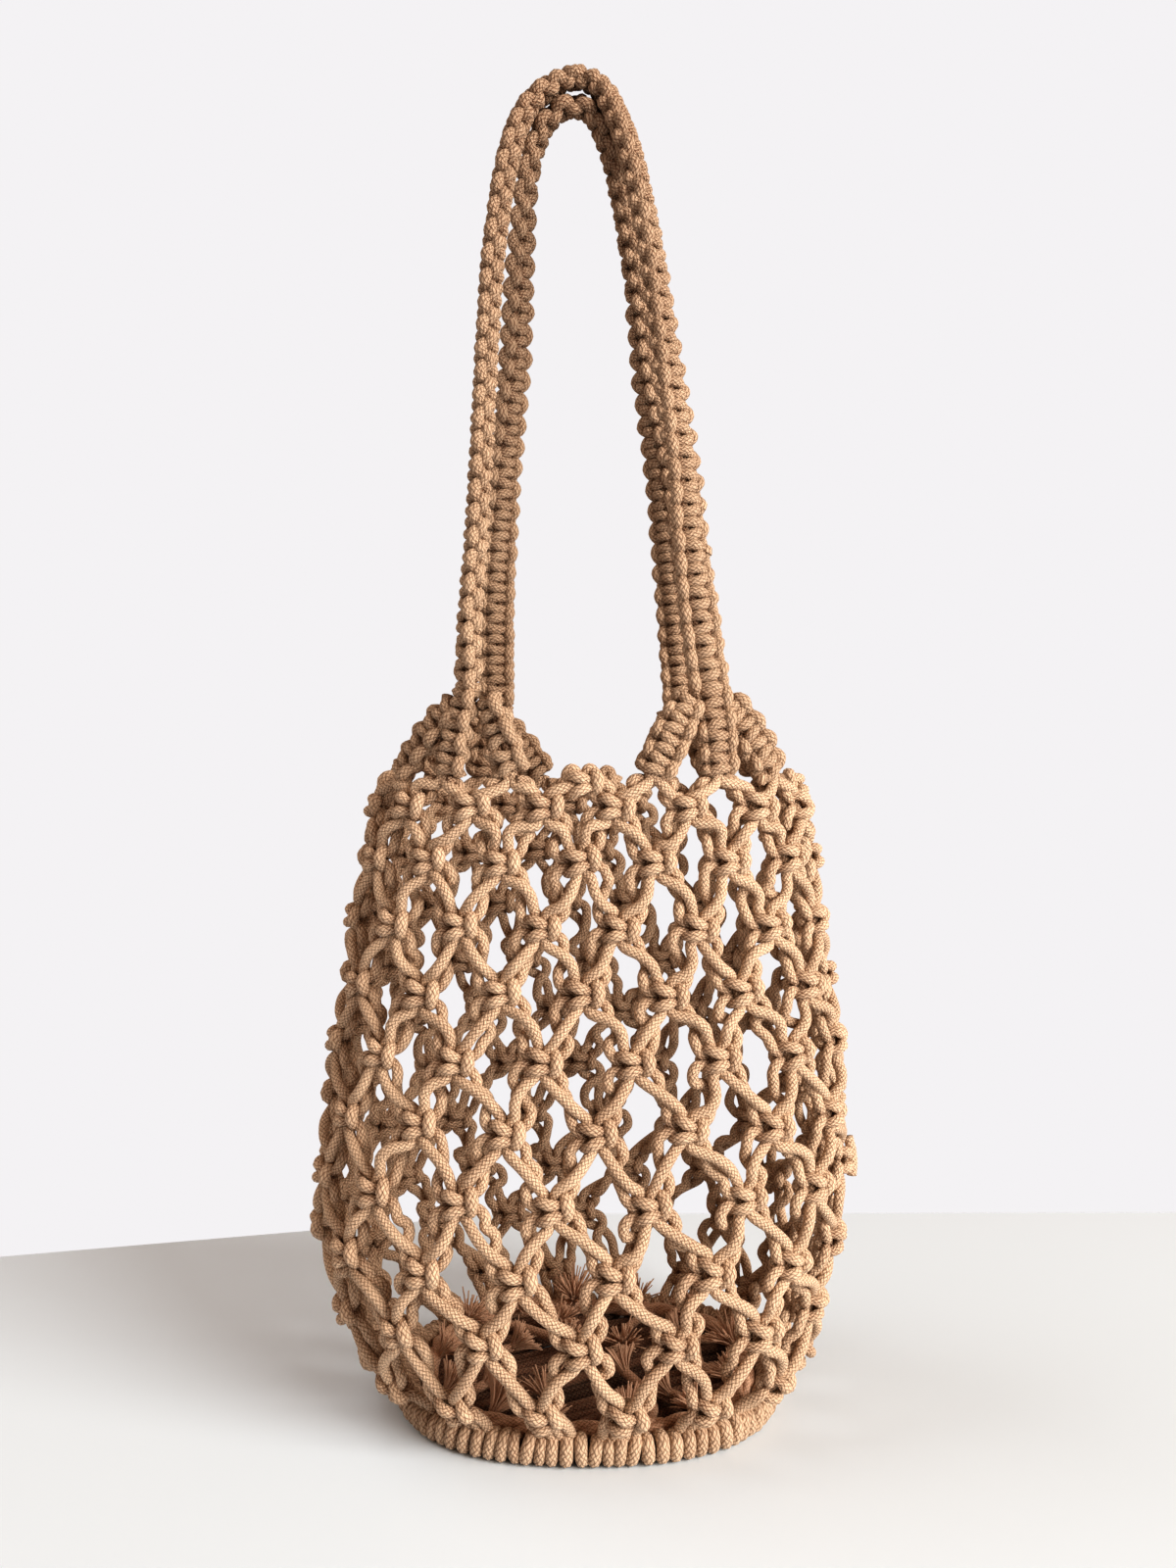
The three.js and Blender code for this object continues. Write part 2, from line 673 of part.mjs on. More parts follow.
// A loop-topped knot between each two legs.
const rimKnots = [
  { name: 'front', column: 0 },
  { name: 'right', column: 4 },
  { name: 'back', column: 8 },
  { name: 'left', column: 12 },
];
for (const knot of rimKnots) {
  const column = knot.column - netSection(rimHeight).drift;
  const { along } = netFrame(column, rimHeight);
  const out = new THREE.Vector3().crossVectors(along, up);
  const mesh = place(`rim_knot_${knot.name}`, rimKnotGeometry(), netMaterial);
  mesh.quaternion.setFromRotationMatrix(new THREE.Matrix4().makeBasis(along, up, out));
  mesh.position.copy(netMiddle(column, rimHeight, 0));
}

place('side_tail', tailGeometry(), netMaterial);

export default bag;
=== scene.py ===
import math

import bpy
import numpy as np
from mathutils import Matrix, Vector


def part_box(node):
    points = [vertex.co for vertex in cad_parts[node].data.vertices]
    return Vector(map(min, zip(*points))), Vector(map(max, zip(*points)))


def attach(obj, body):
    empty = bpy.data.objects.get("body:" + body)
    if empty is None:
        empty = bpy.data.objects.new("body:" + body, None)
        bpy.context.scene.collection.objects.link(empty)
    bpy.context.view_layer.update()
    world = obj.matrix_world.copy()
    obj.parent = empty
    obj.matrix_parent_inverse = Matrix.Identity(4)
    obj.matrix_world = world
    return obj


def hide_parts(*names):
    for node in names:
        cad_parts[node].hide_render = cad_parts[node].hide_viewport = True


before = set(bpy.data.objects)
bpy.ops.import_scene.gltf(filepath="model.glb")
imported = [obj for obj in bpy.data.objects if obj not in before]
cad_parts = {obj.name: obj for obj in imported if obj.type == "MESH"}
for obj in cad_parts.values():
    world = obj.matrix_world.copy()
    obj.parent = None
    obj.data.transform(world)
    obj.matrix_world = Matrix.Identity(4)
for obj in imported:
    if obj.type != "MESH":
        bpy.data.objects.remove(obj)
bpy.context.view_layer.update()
print("frame: CAD model loaded")

# the bag as a whole, sizes in mm as in the CAD model; meshes are turned to metres at the end
bag = {
    "cord": 4.8,            # thickness of the braided cotton cord
    "knotsPerRow": 16,
    "rimHeight": 272.0,
    "bodyWidth": 225.0,
    "bodyDepth": 154.0,
    "ovalPower": 2.4,
    "leanUnit": 5.0,
    "bandWidth": 158.0,
    "bandDepth": 134.0,
    "bandHeight": 12.0,
    "legHeight": 306.0,
    "legSpan": 100.0,
    "legDepth": 82.0,
    "handleTop": 574.0,
    "handleLean": 20.0,
    "seed": 23,
}
cord = bag["cord"]
perRow = bag["knotsPerRow"]
rng = np.random.default_rng(bag["seed"])


def addObject(name, data):
    # a new object in the scene that shows the data
    shown = bpy.data.objects.new(name, data)
    bpy.context.scene.collection.objects.link(shown)
    return shown


# camera, floor and light
view = {
    "place": (0.0, -0.550, 0.2685),   # metres; level, looking along +Y
    "focal": 1250.0 / 1600.0,         # share of the picture's height
    "tableHalf": 3.0,                 # half the table top's width, and its reach to the front
    "tableEnd": 0.215,                # where the table top stops behind the bag
    "tableSkew": 0.24,                # how far its far edge runs askew
}
cameraData = bpy.data.cameras.new("camera")
cameraData.sensor_fit = "VERTICAL"
cameraData.sensor_height = 36.0
cameraData.lens = 36.0 * view["focal"]
cameraData.clip_start = 0.01
camera = addObject("camera", cameraData)
camera.location = view["place"]
camera.rotation_euler = (math.pi / 2, 0, 0)
bpy.context.scene.camera = camera
bpy.context.scene.view_settings.view_transform = "Standard"
bpy.context.scene.view_settings.look = "High Contrast"

studio = {
    "backdrop": (0.64, 0.63, 0.64),
    "ambient": 0.28,
    "ambientColor": (1.0, 0.72, 0.54),
    "keyPlace": (2.00, -1.50, 1.10),
    "keySize": 1.9,
    "keyPower": 91.0,
    "keyColor": (1.0, 0.95, 0.88),
    "keyAim": (0, 0, 0.22),
    "fillPlace": (-1.1, 0.15, 1.3),
    "fillSize": 1.5,
    "fillPower": 7.5,
    "fillColor": (1.0, 0.97, 0.93),
    "fillAim": (-0.2, 0, 0.05),
    "floor": (0.745, 0.84, 0.935),
}


def addAreaLight(name):
    # a round soft light aimed from its place at a point on or beside the bag
    data = bpy.data.lights.new(f"{name}Light", "AREA")
    data.shape = "DISK"
    data.size = studio[f"{name}Size"]
    data.energy = studio[f"{name}Power"]
    data.color = studio[f"{name}Color"]
    lamp = addObject(f"{name}Light", data)
    lamp.location = studio[f"{name}Place"]
    lamp.rotation_mode = "QUATERNION"
    aim = np.subtract(studio[f"{name}Aim"], studio[f"{name}Place"])
    lamp.rotation_quaternion = Vector(aim.tolist()).to_track_quat("-Z", "Y")


def makeWorld():
    # one level for what the camera sees of the wall, another for the soft light on the bag
    world = bpy.data.worlds.new("studio")
    bpy.context.scene.world = world
    world.use_nodes = True
    tree = world.node_tree
    tree.nodes.clear()
    seen = tree.nodes.new("ShaderNodeBackground")
    seen.inputs["Color"].default_value = (*studio["backdrop"], 1)
    soft = tree.nodes.new("ShaderNodeBackground")
    soft.inputs["Color"].default_value = (*studio["ambientColor"], 1)
    soft.inputs["Strength"].default_value = studio["ambient"]
    path = tree.nodes.new("ShaderNodeLightPath")
    mix = tree.nodes.new("ShaderNodeMixShader")
    out = tree.nodes.new("ShaderNodeOutputWorld")
    tree.links.new(path.outputs["Is Camera Ray"], mix.inputs[0])
    tree.links.new(soft.outputs[0], mix.inputs[1])
    tree.links.new(seen.outputs[0], mix.inputs[2])
    tree.links.new(mix.outputs[0], out.inputs["Surface"])


makeWorld()
addAreaLight("key")
addAreaLight("fill")
print("camera and light: in place")


# curves and meshes
def unit(vectors):
    # vector = vector / its length
    return vectors / np.maximum(np.linalg.norm(vectors, axis=-1, keepdims=True), 1e-9)


def lookUp(wanted, known, values):
    # each column of the values, read in straight steps between the known places
    return np.stack([np.interp(wanted, known, column) for column in values.T], -1)


def cubic(start, end, leave, arrive, share):
    # the cubic from start to end with those slopes, at a share of the span
    return (start * (2 * share**3 - 3 * share**2 + 1) + leave * (share**3 - 2 * share**2 + share)
            + end * (3 * share**2 - 2 * share**3) + arrive * (share**3 - share**2))


def smoothPaths(points, perSpan):
    # cubic curve through the points; the slope at each point weighs its two neighbours by the root
    # of their distance, so that uneven spacing makes no loops
    step = np.diff(points, axis=1)
    gap = np.maximum(np.linalg.norm(step, axis=2), 1e-6)[..., None] ** 0.5
    slope = step / gap
    inner = (slope[:, :-1] * gap[:, 1:] + slope[:, 1:] * gap[:, :-1]) / (gap[:, 1:] + gap[:, :-1])
    tangent = np.concatenate([slope[:, :1], inner, slope[:, -1:]], axis=1)
    share = (np.arange(perSpan) / perSpan)[None, None, :, None]
    start, end = points[:, :-1, None], points[:, 1:, None]
    leave, arrive = (tangent[:, :-1] * gap)[:, :, None], (tangent[:, 1:] * gap)[:, :, None]
    curve = cubic(start, end, leave, arrive, share).reshape(len(points), -1, 3)
    return np.concatenate([curve, points[:, -1:]], axis=1)


def spreadEven(values, perSpan):
    # values at the control points, carried on in straight steps along each span
    share = np.arange(perSpan) / perSpan
    inner = values[:, :-1, None] * (1 - share) + values[:, 1:, None] * share
    return np.concatenate([inner.reshape(len(values), -1), values[:, -1:]], axis=1)


def tubeFrames(path):
    # two directions square to the path at each point, carried forward without twist
    tangent = unit(np.gradient(path, axis=1))
    upright = np.abs(tangent[:, 0, 2:]) > 0.8
    side = np.empty_like(path)
    side[:, 0] = unit(np.cross(tangent[:, 0], np.where(upright, [1.0, 0, 0], [0, 0, 1.0])))
    for place in range(1, path.shape[1]):
        here = tangent[:, place]
        kept = side[:, place - 1]
        side[:, place] = unit(kept - here * (kept * here).sum(1, keepdims=True))
    return side, np.cross(tangent, side)


def tube(path, radius, sides, shade=None):
    # point(station, angle) = path + radius * (cos angle * side + sin angle * other side), closed by
    # a middle point at each end; u runs along in cord widths, v once round
    count, stations, _ = path.shape
    radius = np.broadcast_to(np.asarray(radius, float), (count, stations))
    side, other = tubeFrames(path)
    angle = 2 * np.pi * np.arange(sides) / sides
    spoke = (np.cos(angle)[:, None] * side[:, :, None] + np.sin(angle)[:, None] * other[:, :, None])
    ring = path[:, :, None] + radius[..., None, None] * spoke
    points = np.concatenate([ring.reshape(count, -1, 3), path[:, :1], path[:, -1:]], axis=1)
    step = np.linalg.norm(np.diff(path, axis=1), axis=2)
    along = np.concatenate([np.zeros((count, 1)), np.cumsum(step, axis=1)], axis=1) / cord
    base = (np.arange(count) * points.shape[1])[:, None, None]
    station = np.arange(stations - 1)[:, None] * sides
    corner = np.arange(sides)
    beside = (corner + 1) % sides
    quads = np.stack([station + corner, station + beside,
                      station + sides + beside, station + sides + corner], axis=-1)
    quads = (quads.reshape(1, -1, 4) + base).reshape(-1, 4)
    middle, end = stations * sides, (stations - 1) * sides
    caps = np.concatenate([np.stack([np.full(sides, middle), beside, corner], axis=-1),
                           np.stack([np.full(sides, middle + 1), end + corner, end + beside], axis=-1)])
    tris = (caps[None] + base).reshape(-1, 3)
    turn = np.arange(sides + 1) / sides
    u0, u1 = along[:, :-1, None], along[:, 1:, None]
    corners = ((u0, turn[:-1]), (u0, turn[1:]), (u1, turn[1:]), (u1, turn[:-1]))
    quadUv = np.stack([np.stack(np.broadcast_arrays(u, v), -1) for u, v in corners], axis=3)
    capUv = np.tile([(0.5, 0.5), (0.5, 0.0), (0.5, 0.1)], (count * 2 * sides, 1))
    if shade is None:
        shade = rng.uniform(0.6, 1.0, count)
    shade = np.broadcast_to(np.asarray(shade, float).reshape(count, -1), (count, stations))
    shade = np.concatenate([np.repeat(shade, sides, axis=1), shade[:, :1], shade[:, -1:]], axis=1)
    return {"points": points.reshape(-1, 3), "quads": quads, "tris": tris,
            "quadUv": quadUv.reshape(-1, 2), "triUv": capUv, "shade": shade.ravel()}


# painted shade in the creases where cords are pinched between others
crease = {
    "pinched": 0.82,      # thickness, as a share of the cord's own, at which it is darkest
    "rise": 0.16,         # how much thicker it has to be to look palest
    "depth": 0.7,         # how much paler that is
    "vary": 0.3,          # difference from cord to cord
}


def paintedCreaseShade(thick):
    # painted shade: dark where a cord is pinched between others, pale where it swells out, with
    # a little tone that differs at random from cord to cord
    swollen = np.clip((thick - crease["pinched"]) / crease["rise"], 0, 1)
    return crease["depth"] * swollen + rng.uniform(0, crease["vary"], (len(thick), 1))


def makePiece(name, parts, material, replaced=()):
    # joins the parts into one mesh with its UV map and its shade, and puts it on the frame
    def joined(key):
        return np.concatenate([p[key] for p in parts])

    offset = np.cumsum([0] + [len(p["points"]) for p in parts])
    points = joined("points") * 0.001
    quads = np.concatenate([p["quads"] + o for p, o in zip(parts, offset)])
    tris = np.concatenate([p["tris"] + o for p, o in zip(parts, offset)])
    mesh = bpy.data.meshes.new(name)
    mesh.vertices.add(len(points))
    mesh.vertices.foreach_set("co", points.astype(np.float32).ravel())
    mesh.loops.add(quads.size + tris.size)
    corners = np.concatenate([quads.ravel(), tris.ravel()]).astype(np.int32)
    mesh.loops.foreach_set("vertex_index", corners)
    starts = np.concatenate([np.arange(len(quads)) * 4, quads.size + np.arange(len(tris)) * 3])
    mesh.polygons.add(len(starts))
    mesh.polygons.foreach_set("loop_start", starts.astype(np.int32))
    mesh.update(calc_edges=True)
    uv = mesh.uv_layers.new(name="cordUv")
    coords = np.concatenate([joined("quadUv"), joined("triUv")])
    uv.data.foreach_set("uv", coords.astype(np.float32).ravel())
    shade = mesh.attributes.new("shade", "FLOAT", "POINT")
    shade.data.foreach_set("value", joined("shade").astype(np.float32))
    mesh.shade_smooth()
    mesh.materials.append(material)
    piece = addObject(name, mesh)
    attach(piece, "root")
    if replaced:
        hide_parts(*replaced)
    print(f"{name}: {2 * len(quads) + len(tris)} triangles")


# materials
def addMath(tree, operation, first, second=None):
    # result = first operation second, each a number or another node's output
    node = tree.nodes.new("ShaderNodeMath")
    node.operation = operation
    for socket, value in zip(node.inputs, (first, second)):
        if isinstance(value, (int, float)):
            socket.default_value = value
        elif value is not None:
            tree.links.new(value, socket)
    return node.outputs[0]


def addNoise(tree, vector, scale, detail=2.0, roughness=0.5):
    # soft noise from 0 to 1 at that scale
    node = tree.nodes.new("ShaderNodeTexNoise")
    node.inputs["Scale"].default_value = scale
    node.inputs["Detail"].default_value = detail
    node.inputs["Roughness"].default_value = roughness
    tree.links.new(vector, node.inputs["Vector"])
    return node.outputs["Fac"]


def addMix(tree, factor, first, second):
    # colour = first + (second - first) * factor
    node = tree.nodes.new("ShaderNodeMix")
    node.data_type = "RGBA"
    for socket, value in ((node.inputs[0], factor), (node.inputs[6], first), (node.inputs[7], second)):
        tree.links.new(value, socket)
    return node.outputs[2]


def addRange(tree, value, low, high, toLow=0.0, toHigh=1.0):
    # result runs from toLow to toHigh while the value runs from low to high
    node = tree.nodes.new("ShaderNodeMapRange")
    for socket, number in zip(node.inputs[1:5], (low, high, toLow, toHigh)):
        socket.default_value = number
    tree.links.new(value, node.inputs[0])
    return node.outputs[0]


braid = {
    "yarns": 8.0,         # yarns round the cord, and crossings per cord width along it
    "lay": 2.2,
    "grain": 2600.0,      # scale of the fibres' grain, of the fine mottle and of the broad one
    "mottle": 850.0,
    "broad": 38.0,
    "grainHeight": 0.55,
    "ridgeShadeTone": (-0.18, 0.40),
    "mottleTone": 0.24,
    "broadTone": 0.14,
    "shadeTone": 0.42,
    "roughness": (0.82, 0.97),
    "bumpDistance": 0.0011,
    "surface": {"Sheen Weight": 0.22, "Sheen Roughness": 0.5, "Sheen Tint": (1.0, 0.85, 0.66, 1),
                "Specular IOR Level": 0.25},
}


def makeBraidGroup():
    # yarns cross in two slanting families; each shows a rounded ridge where it lies on top;
    # colour = dark to light by ridge, which paints shade into the valleys between yarns, by mottle, and
    # by the shade attribute, which holds painted shade and each cord's own random tone
    group = bpy.data.node_groups.new("braidedCotton", "ShaderNodeTree")
    sockets = {
        "INPUT": {"Cord UV": "Vector", "Position": "Vector", "Shade": "Float", "Light": "Color",
                  "Dark": "Color", "Yarns": "Float", "Lay": "Float"},
        "OUTPUT": {"Color": "Color", "Height": "Float", "Roughness": "Float"},
    }
    for way, kinds in sockets.items():
        for name, kind in kinds.items():
            group.interface.new_socket(name, in_out=way, socket_type=f"NodeSocket{kind}")
    given = group.nodes.new("NodeGroupInput").outputs
    result = group.nodes.new("NodeGroupOutput").inputs
    split = group.nodes.new("ShaderNodeSeparateXYZ")
    group.links.new(given["Cord UV"], split.inputs[0])
    turns = addMath(group, "MULTIPLY", split.outputs["Y"], given["Yarns"])
    rise = addMath(group, "MULTIPLY", split.outputs["X"], given["Lay"])
    left, right = (
        addMath(group, "SINE", addMath(group, "MULTIPLY", addMath(group, way, turns, rise), math.pi))
        for way in ("ADD", "SUBTRACT"))
    over = addRange(group, addMath(group, "MULTIPLY", left, right), -0.2, 0.2)
    leftRidge, rightRidge = (
        addMath(group, "POWER", addMath(group, "ABSOLUTE", wave), 0.6) for wave in (left, right))
    low = addMath(group, "MULTIPLY", leftRidge, addMath(group, "SUBTRACT", 1.0, over))
    ridge = addMath(group, "ADD", low, addMath(group, "MULTIPLY", rightRidge, over))
    grain = addNoise(group, given["Position"], braid["grain"], 3.0, 0.65)
    mottle = addNoise(group, given["Position"], braid["mottle"])
    broad = addNoise(group, given["Position"], braid["broad"])
    # painted shade: the colour darkens in the valleys between yarns
    tone = addMath(group, "ADD", addRange(group, ridge, 0.35, 0.95, *braid["ridgeShadeTone"]),
                   addRange(group, mottle, 0.32, 0.68, 0.0, braid["mottleTone"]))
    tone = addMath(group, "ADD", tone, addRange(group, broad, 0.3, 0.7, 0.0, braid["broadTone"]))
    shaded = addMath(group, "MULTIPLY", given["Shade"], braid["shadeTone"])
    tone = addRange(group, addMath(group, "ADD", tone, shaded), 0.0, 1.0)
    fibres = addMath(group, "MULTIPLY", grain, braid["grainHeight"])
    group.links.new(addMix(group, tone, given["Dark"], given["Light"]), result["Color"])
    group.links.new(addMath(group, "ADD", ridge, fibres), result["Height"])
    group.links.new(addRange(group, grain, 0.2, 0.8, *braid["roughness"]), result["Roughness"])
    return group


braidGroup = makeBraidGroup()


def cottonMaterial(name, light, dark, relief=0.8):
    # braided cotton between its dark and its light colour, with the braid as relief
    material = bpy.data.materials.new(name)
    material.use_nodes = True
    tree = material.node_tree
    shader = tree.nodes["Principled BSDF"]
    for key, value in braid["surface"].items():
        shader.inputs[key].default_value = value
    uv = tree.nodes.new("ShaderNodeUVMap")
    uv.uv_map = "cordUv"
    place = tree.nodes.new("ShaderNodeTexCoord")
    shade = tree.nodes.new("ShaderNodeAttribute")
    shade.attribute_name = "shade"
    cotton = tree.nodes.new("ShaderNodeGroup")
    cotton.node_tree = braidGroup
    for key, value in (("Light", (*light, 1)), ("Dark", (*dark, 1)), ("Yarns", braid["yarns"]),
                       ("Lay", braid["lay"])):
        cotton.inputs[key].default_value = value
    bump = tree.nodes.new("ShaderNodeBump")
    bump.inputs["Strength"].default_value = relief
    bump.inputs["Distance"].default_value = braid["bumpDistance"]
    for source, target in ((uv.outputs[0], cotton.inputs["Cord UV"]),
                           (place.outputs["Object"], cotton.inputs["Position"]),
                           (shade.outputs["Fac"], cotton.inputs["Shade"]),
                           (cotton.outputs["Color"], shader.inputs["Base Color"]),
                           (cotton.outputs["Roughness"], shader.inputs["Roughness"]),
                           (cotton.outputs["Height"], bump.inputs["Height"]),
                           (bump.outputs[0], shader.inputs["Normal"])):
        tree.links.new(source, target)
    return material


netCotton = cottonMaterial("netCotton", (0.81, 0.60, 0.435), (0.15, 0.049, 0.018))
handleCotton = cottonMaterial("handleCotton", (0.63, 0.455, 0.325), (0.12, 0.040, 0.015))
baseCotton = cottonMaterial("baseCotton", (0.745, 0.555, 0.405), (0.17, 0.060, 0.024))
# the floor's cords are the same cotton painted much darker, as painted shade for the dim inside of the
# bag
shadedFloorCotton = cottonMaterial("shadedFloorCotton", (0.30, 0.165, 0.110), (0.038, 0.015, 0.009))
fringeCotton = cottonMaterial("frayedCotton", (0.74, 0.50, 0.36), (0.15, 0.062, 0.034), relief=0.2)
print("materials: made")


# shape of the net wall
# height, width and depth as shares of the rim height, body width and body depth; lean in lean
# units; drift in knot pitches round the bag
rowTable = np.array([
    (1.000, 0.782, 0.662, 0.3, -0.14),
    (0.952, 0.827, 0.675, 0.2, -0.16),
    (0.868, 0.867, 0.682, 0.1, -0.14),
    (0.772, 0.902, 0.701, 0.0, -0.12),
    (0.673, 0.933, 0.734, 0.0, -0.08),
    (0.577, 0.969, 0.792, -0.1, 0.00),
    (0.478, 0.987, 0.851, -0.2, 0.10),
    (0.377, 1.000, 0.922, -0.5, 0.22),
    (0.279, 0.987, 0.987, -0.8, 0.36),
    (0.184, 0.924, 1.000, -0.7, 0.50),
    (0.081, 0.827, 0.948, -0.2, 0.48),
])


def wallSections():
    # the rows in mm, carried on a little above the rim and down to the foot of the base band, with
    # the running length up the wall measured from the rim
    size = np.array([bag["rimHeight"], bag["bodyWidth"] / 2, bag["bodyDepth"] / 2, bag["leanUnit"], 1.0])
    rows = rowTable * size
    above = rows[0] + (rows[0] - rows[1]) * [1.6, 0.6, 0.6, 0, 0]
    bandTop = [bag["bandHeight"], bag["bandWidth"] / 2, bag["bandDepth"] / 2, 0, rows[-1, 4]]
    bandFoot = [1.0, bag["bandWidth"] / 2, bag["bandDepth"] / 2, 0, rows[-1, 4]]
    rows = np.vstack([above, rows, bandTop, bandFoot])
    radius = rows[:, 1:3].mean(axis=1)
    step = np.hypot(np.diff(rows[:, 0]), np.diff(radius))
    level = -np.concatenate([[0], np.cumsum(step)])
    return rows, level - level[1]


wallRows, wallLevels = wallSections()
rowLevels = wallLevels[1:1 + len(rowTable)]
levelCount, shareCount = 300, 384   # grid on which the wall is looked up, up and round
fineLevels = np.linspace(wallLevels[-1], wallLevels[0], levelCount)


def smoothTable(level, values, wanted):
    # cubic through the rows, with each row's slope weighed from its two neighbours
    level, values = level[::-1], values[::-1]
    gap = np.diff(level)
    slope = np.diff(values, axis=0) / gap[:, None]
    inner = (slope[:-1] * gap[1:, None] + slope[1:] * gap[:-1, None]) / (gap[1:] + gap[:-1])[:, None]
    slopes = np.vstack([slope[:1], inner, slope[-1:]])
    place = np.clip(np.searchsorted(level, wanted, side="right") - 1, 0, len(gap) - 1)
    width = gap[place][:, None]
    share = ((wanted - level[place]) / gap[place])[:, None]
    return cubic(values[place], values[place + 1], slopes[place] * width, slopes[place + 1] * width,
                 share)


fineRows = smoothTable(wallLevels, wallRows, fineLevels)


def ovalTable(halfWidth, halfDepth, samples=1440):
    # points spread evenly by length round |x/a|^p + |y/b|^p = 1, from the front towards +X
    angle = np.linspace(-np.pi / 2, 1.5 * np.pi, samples + 1)
    power = 2 / bag["ovalPower"]
    across = np.sign(np.cos(angle)) * np.abs(np.cos(angle)) ** power
    deep = np.sign(np.sin(angle)) * np.abs(np.sin(angle)) ** power
    x, y = halfWidth[:, None] * across, halfDepth[:, None] * deep
    length = np.cumsum(np.hypot(np.diff(x, axis=1), np.diff(y, axis=1)), axis=1)
    length = np.concatenate([np.zeros((len(x), 1)), length], axis=1)
    wanted = np.linspace(0, 1, shareCount + 1)
    spots = np.stack([lookUp(wanted * known[-1], known, flat)
                      for known, flat in zip(length, np.stack([x, y], -1))])
    return spots, length[:, -1]


wallSpots, wallLength = ovalTable(fineRows[:, 1], fineRows[:, 2])


def wallPoint(share, level):
    # bilinear look-up of the wall's middle surface
    row = np.clip((level - fineLevels[0]) / (fineLevels[1] - fineLevels[0]), 0, levelCount - 1.001)
    column = (share - np.floor(share)) * shareCount
    r, c = row.astype(int), np.minimum(column.astype(int), shareCount - 1)
    fr, fc = (row - r)[..., None], (column - c)[..., None]
    spot = ((wallSpots[r, c] * (1 - fc) + wallSpots[r, c + 1] * fc) * (1 - fr)
            + (wallSpots[r + 1, c] * (1 - fc) + wallSpots[r + 1, c + 1] * fc) * fr)
    height = np.interp(level, fineLevels, fineRows[:, 0])
    lean = np.interp(level, fineLevels, fineRows[:, 3])
    return np.stack([spot[..., 0] + lean, spot[..., 1], height], -1)


def wallOut(share, level):
    # outward direction: along the wall crossed with up the wall, each over a short step
    along = wallPoint(share + 0.004, level) - wallPoint(share - 0.004, level)
    upward = wallPoint(share, level + 2.0) - wallPoint(share, level - 2.0)
    return unit(np.cross(along, upward))


def wallShare(column, level):
    # share of the way round at which a column of the net stands at a level
    return (column + np.interp(level, fineLevels, fineRows[:, 4])) / perRow


def onWall(share, level, local):
    # local = along, up and out of the wall in mm
    lifted = level + local[..., 1]
    turned = share + local[..., 0] / np.interp(lifted, fineLevels, wallLength)
    return wallPoint(turned, lifted) + wallOut(turned, lifted) * local[..., 2:]


# the net: square knots seen from outside, in cord widths from the knot's middle
net = {
    "thick": 0.86,        # how thick a knot is drawn
    "radius": 0.49,
    "sides": 10,
    "shift": 0.22,        # irregularity of each knot: place and size in cords, turn in degrees
    "turn": 11.0,
    "grow": 0.07,
    "rough": 0.06,        # irregularity of the cord inside a knot and between knots, in cords
    "slack": 0.20,
    "bow": 0.62,
    "sweep": 0.10,        # how far the filler bows away from the upper knot
    "front": 0.36,        # how far the filler passes in front between knots, and the other behind
    "behind": 0.42,
    "linkThick": 1.02,    # thickness between knots
    "ripple": 0.025,      # unevenness of a cord's thickness, and its turns per station in radians
    "rippleTurn": 0.9,
}
# along, up, out and thickness of the cord that comes in from the left: behind the fillers, over
# the right end of both bars, and behind again
leftCord = np.array([
    (-1.95, 1.75, -0.20, 1.00), (-1.80, 0.95, -0.05, 1.00), (-1.30, 0.34, -0.05, 0.85),
    (-0.60, 0.40, -0.62, 0.85), (0.15, 0.50, -0.82, 0.95), (0.80, 0.86, -0.20, 0.88),
    (1.10, 0.80, 0.48, 0.98), (1.26, 0.12, 0.92, 1.20), (1.12, -0.58, 0.48, 0.98),
    (0.80, -0.80, -0.25, 0.88), (0.15, -0.50, -0.82, 0.95), (-0.60, -0.40, -0.62, 0.85),
    (-1.30, -0.34, -0.05, 0.85), (-1.88, -0.58, 0.12, 0.96), (-2.25, -1.10, 0.02, 1.00),
    (-2.20, -1.80, -0.20, 1.00),
])
# the cord that comes in from the right: the two bars across the front, joined behind on the left
rightCord = np.array([
    (1.95, 1.90, -0.30, 1.00), (1.80, 1.20, -0.25, 1.00), (1.35, 0.62, -0.12, 0.85),
    (0.58, 0.30, 0.60, 0.78), (-0.25, 0.54, 1.08, 1.06), (-0.98, 0.84, 0.55, 0.84),
    (-1.24, 0.66, -0.42, 0.80), (-1.30, 0.00, -0.88, 1.08), (-1.24, -0.66, -0.42, 0.80),
    (-0.98, -0.78, 0.55, 0.84), (-0.25, -0.56, 1.08, 1.06), (0.58, -0.36, 0.60, 0.78),
    (1.32, -0.52, -0.12, 0.86), (1.78, -0.92, -0.10, 0.95), (2.02, -1.40, -0.15, 1.00),
    (2.05, -1.95, -0.30, 1.00),
])
rightFiller = np.array([
    (0.62, 1.45, 0.28, 1.00), (0.26, 0.90, 0.10, 0.95), (0.16, 0.00, -0.10, 0.88),
    (0.26, -0.88, -0.02, 0.95), (0.62, -1.45, 0.22, 1.00),
])
leftFiller = np.array([
    (-0.68, 1.50, 0.02, 1.00), (-0.36, 0.95, -0.25, 0.92), (-0.28, 0.00, -0.15, 0.88),
    (-0.26, -0.88, -0.05, 0.95), (-0.60, -1.45, 0.22, 1.00),
])
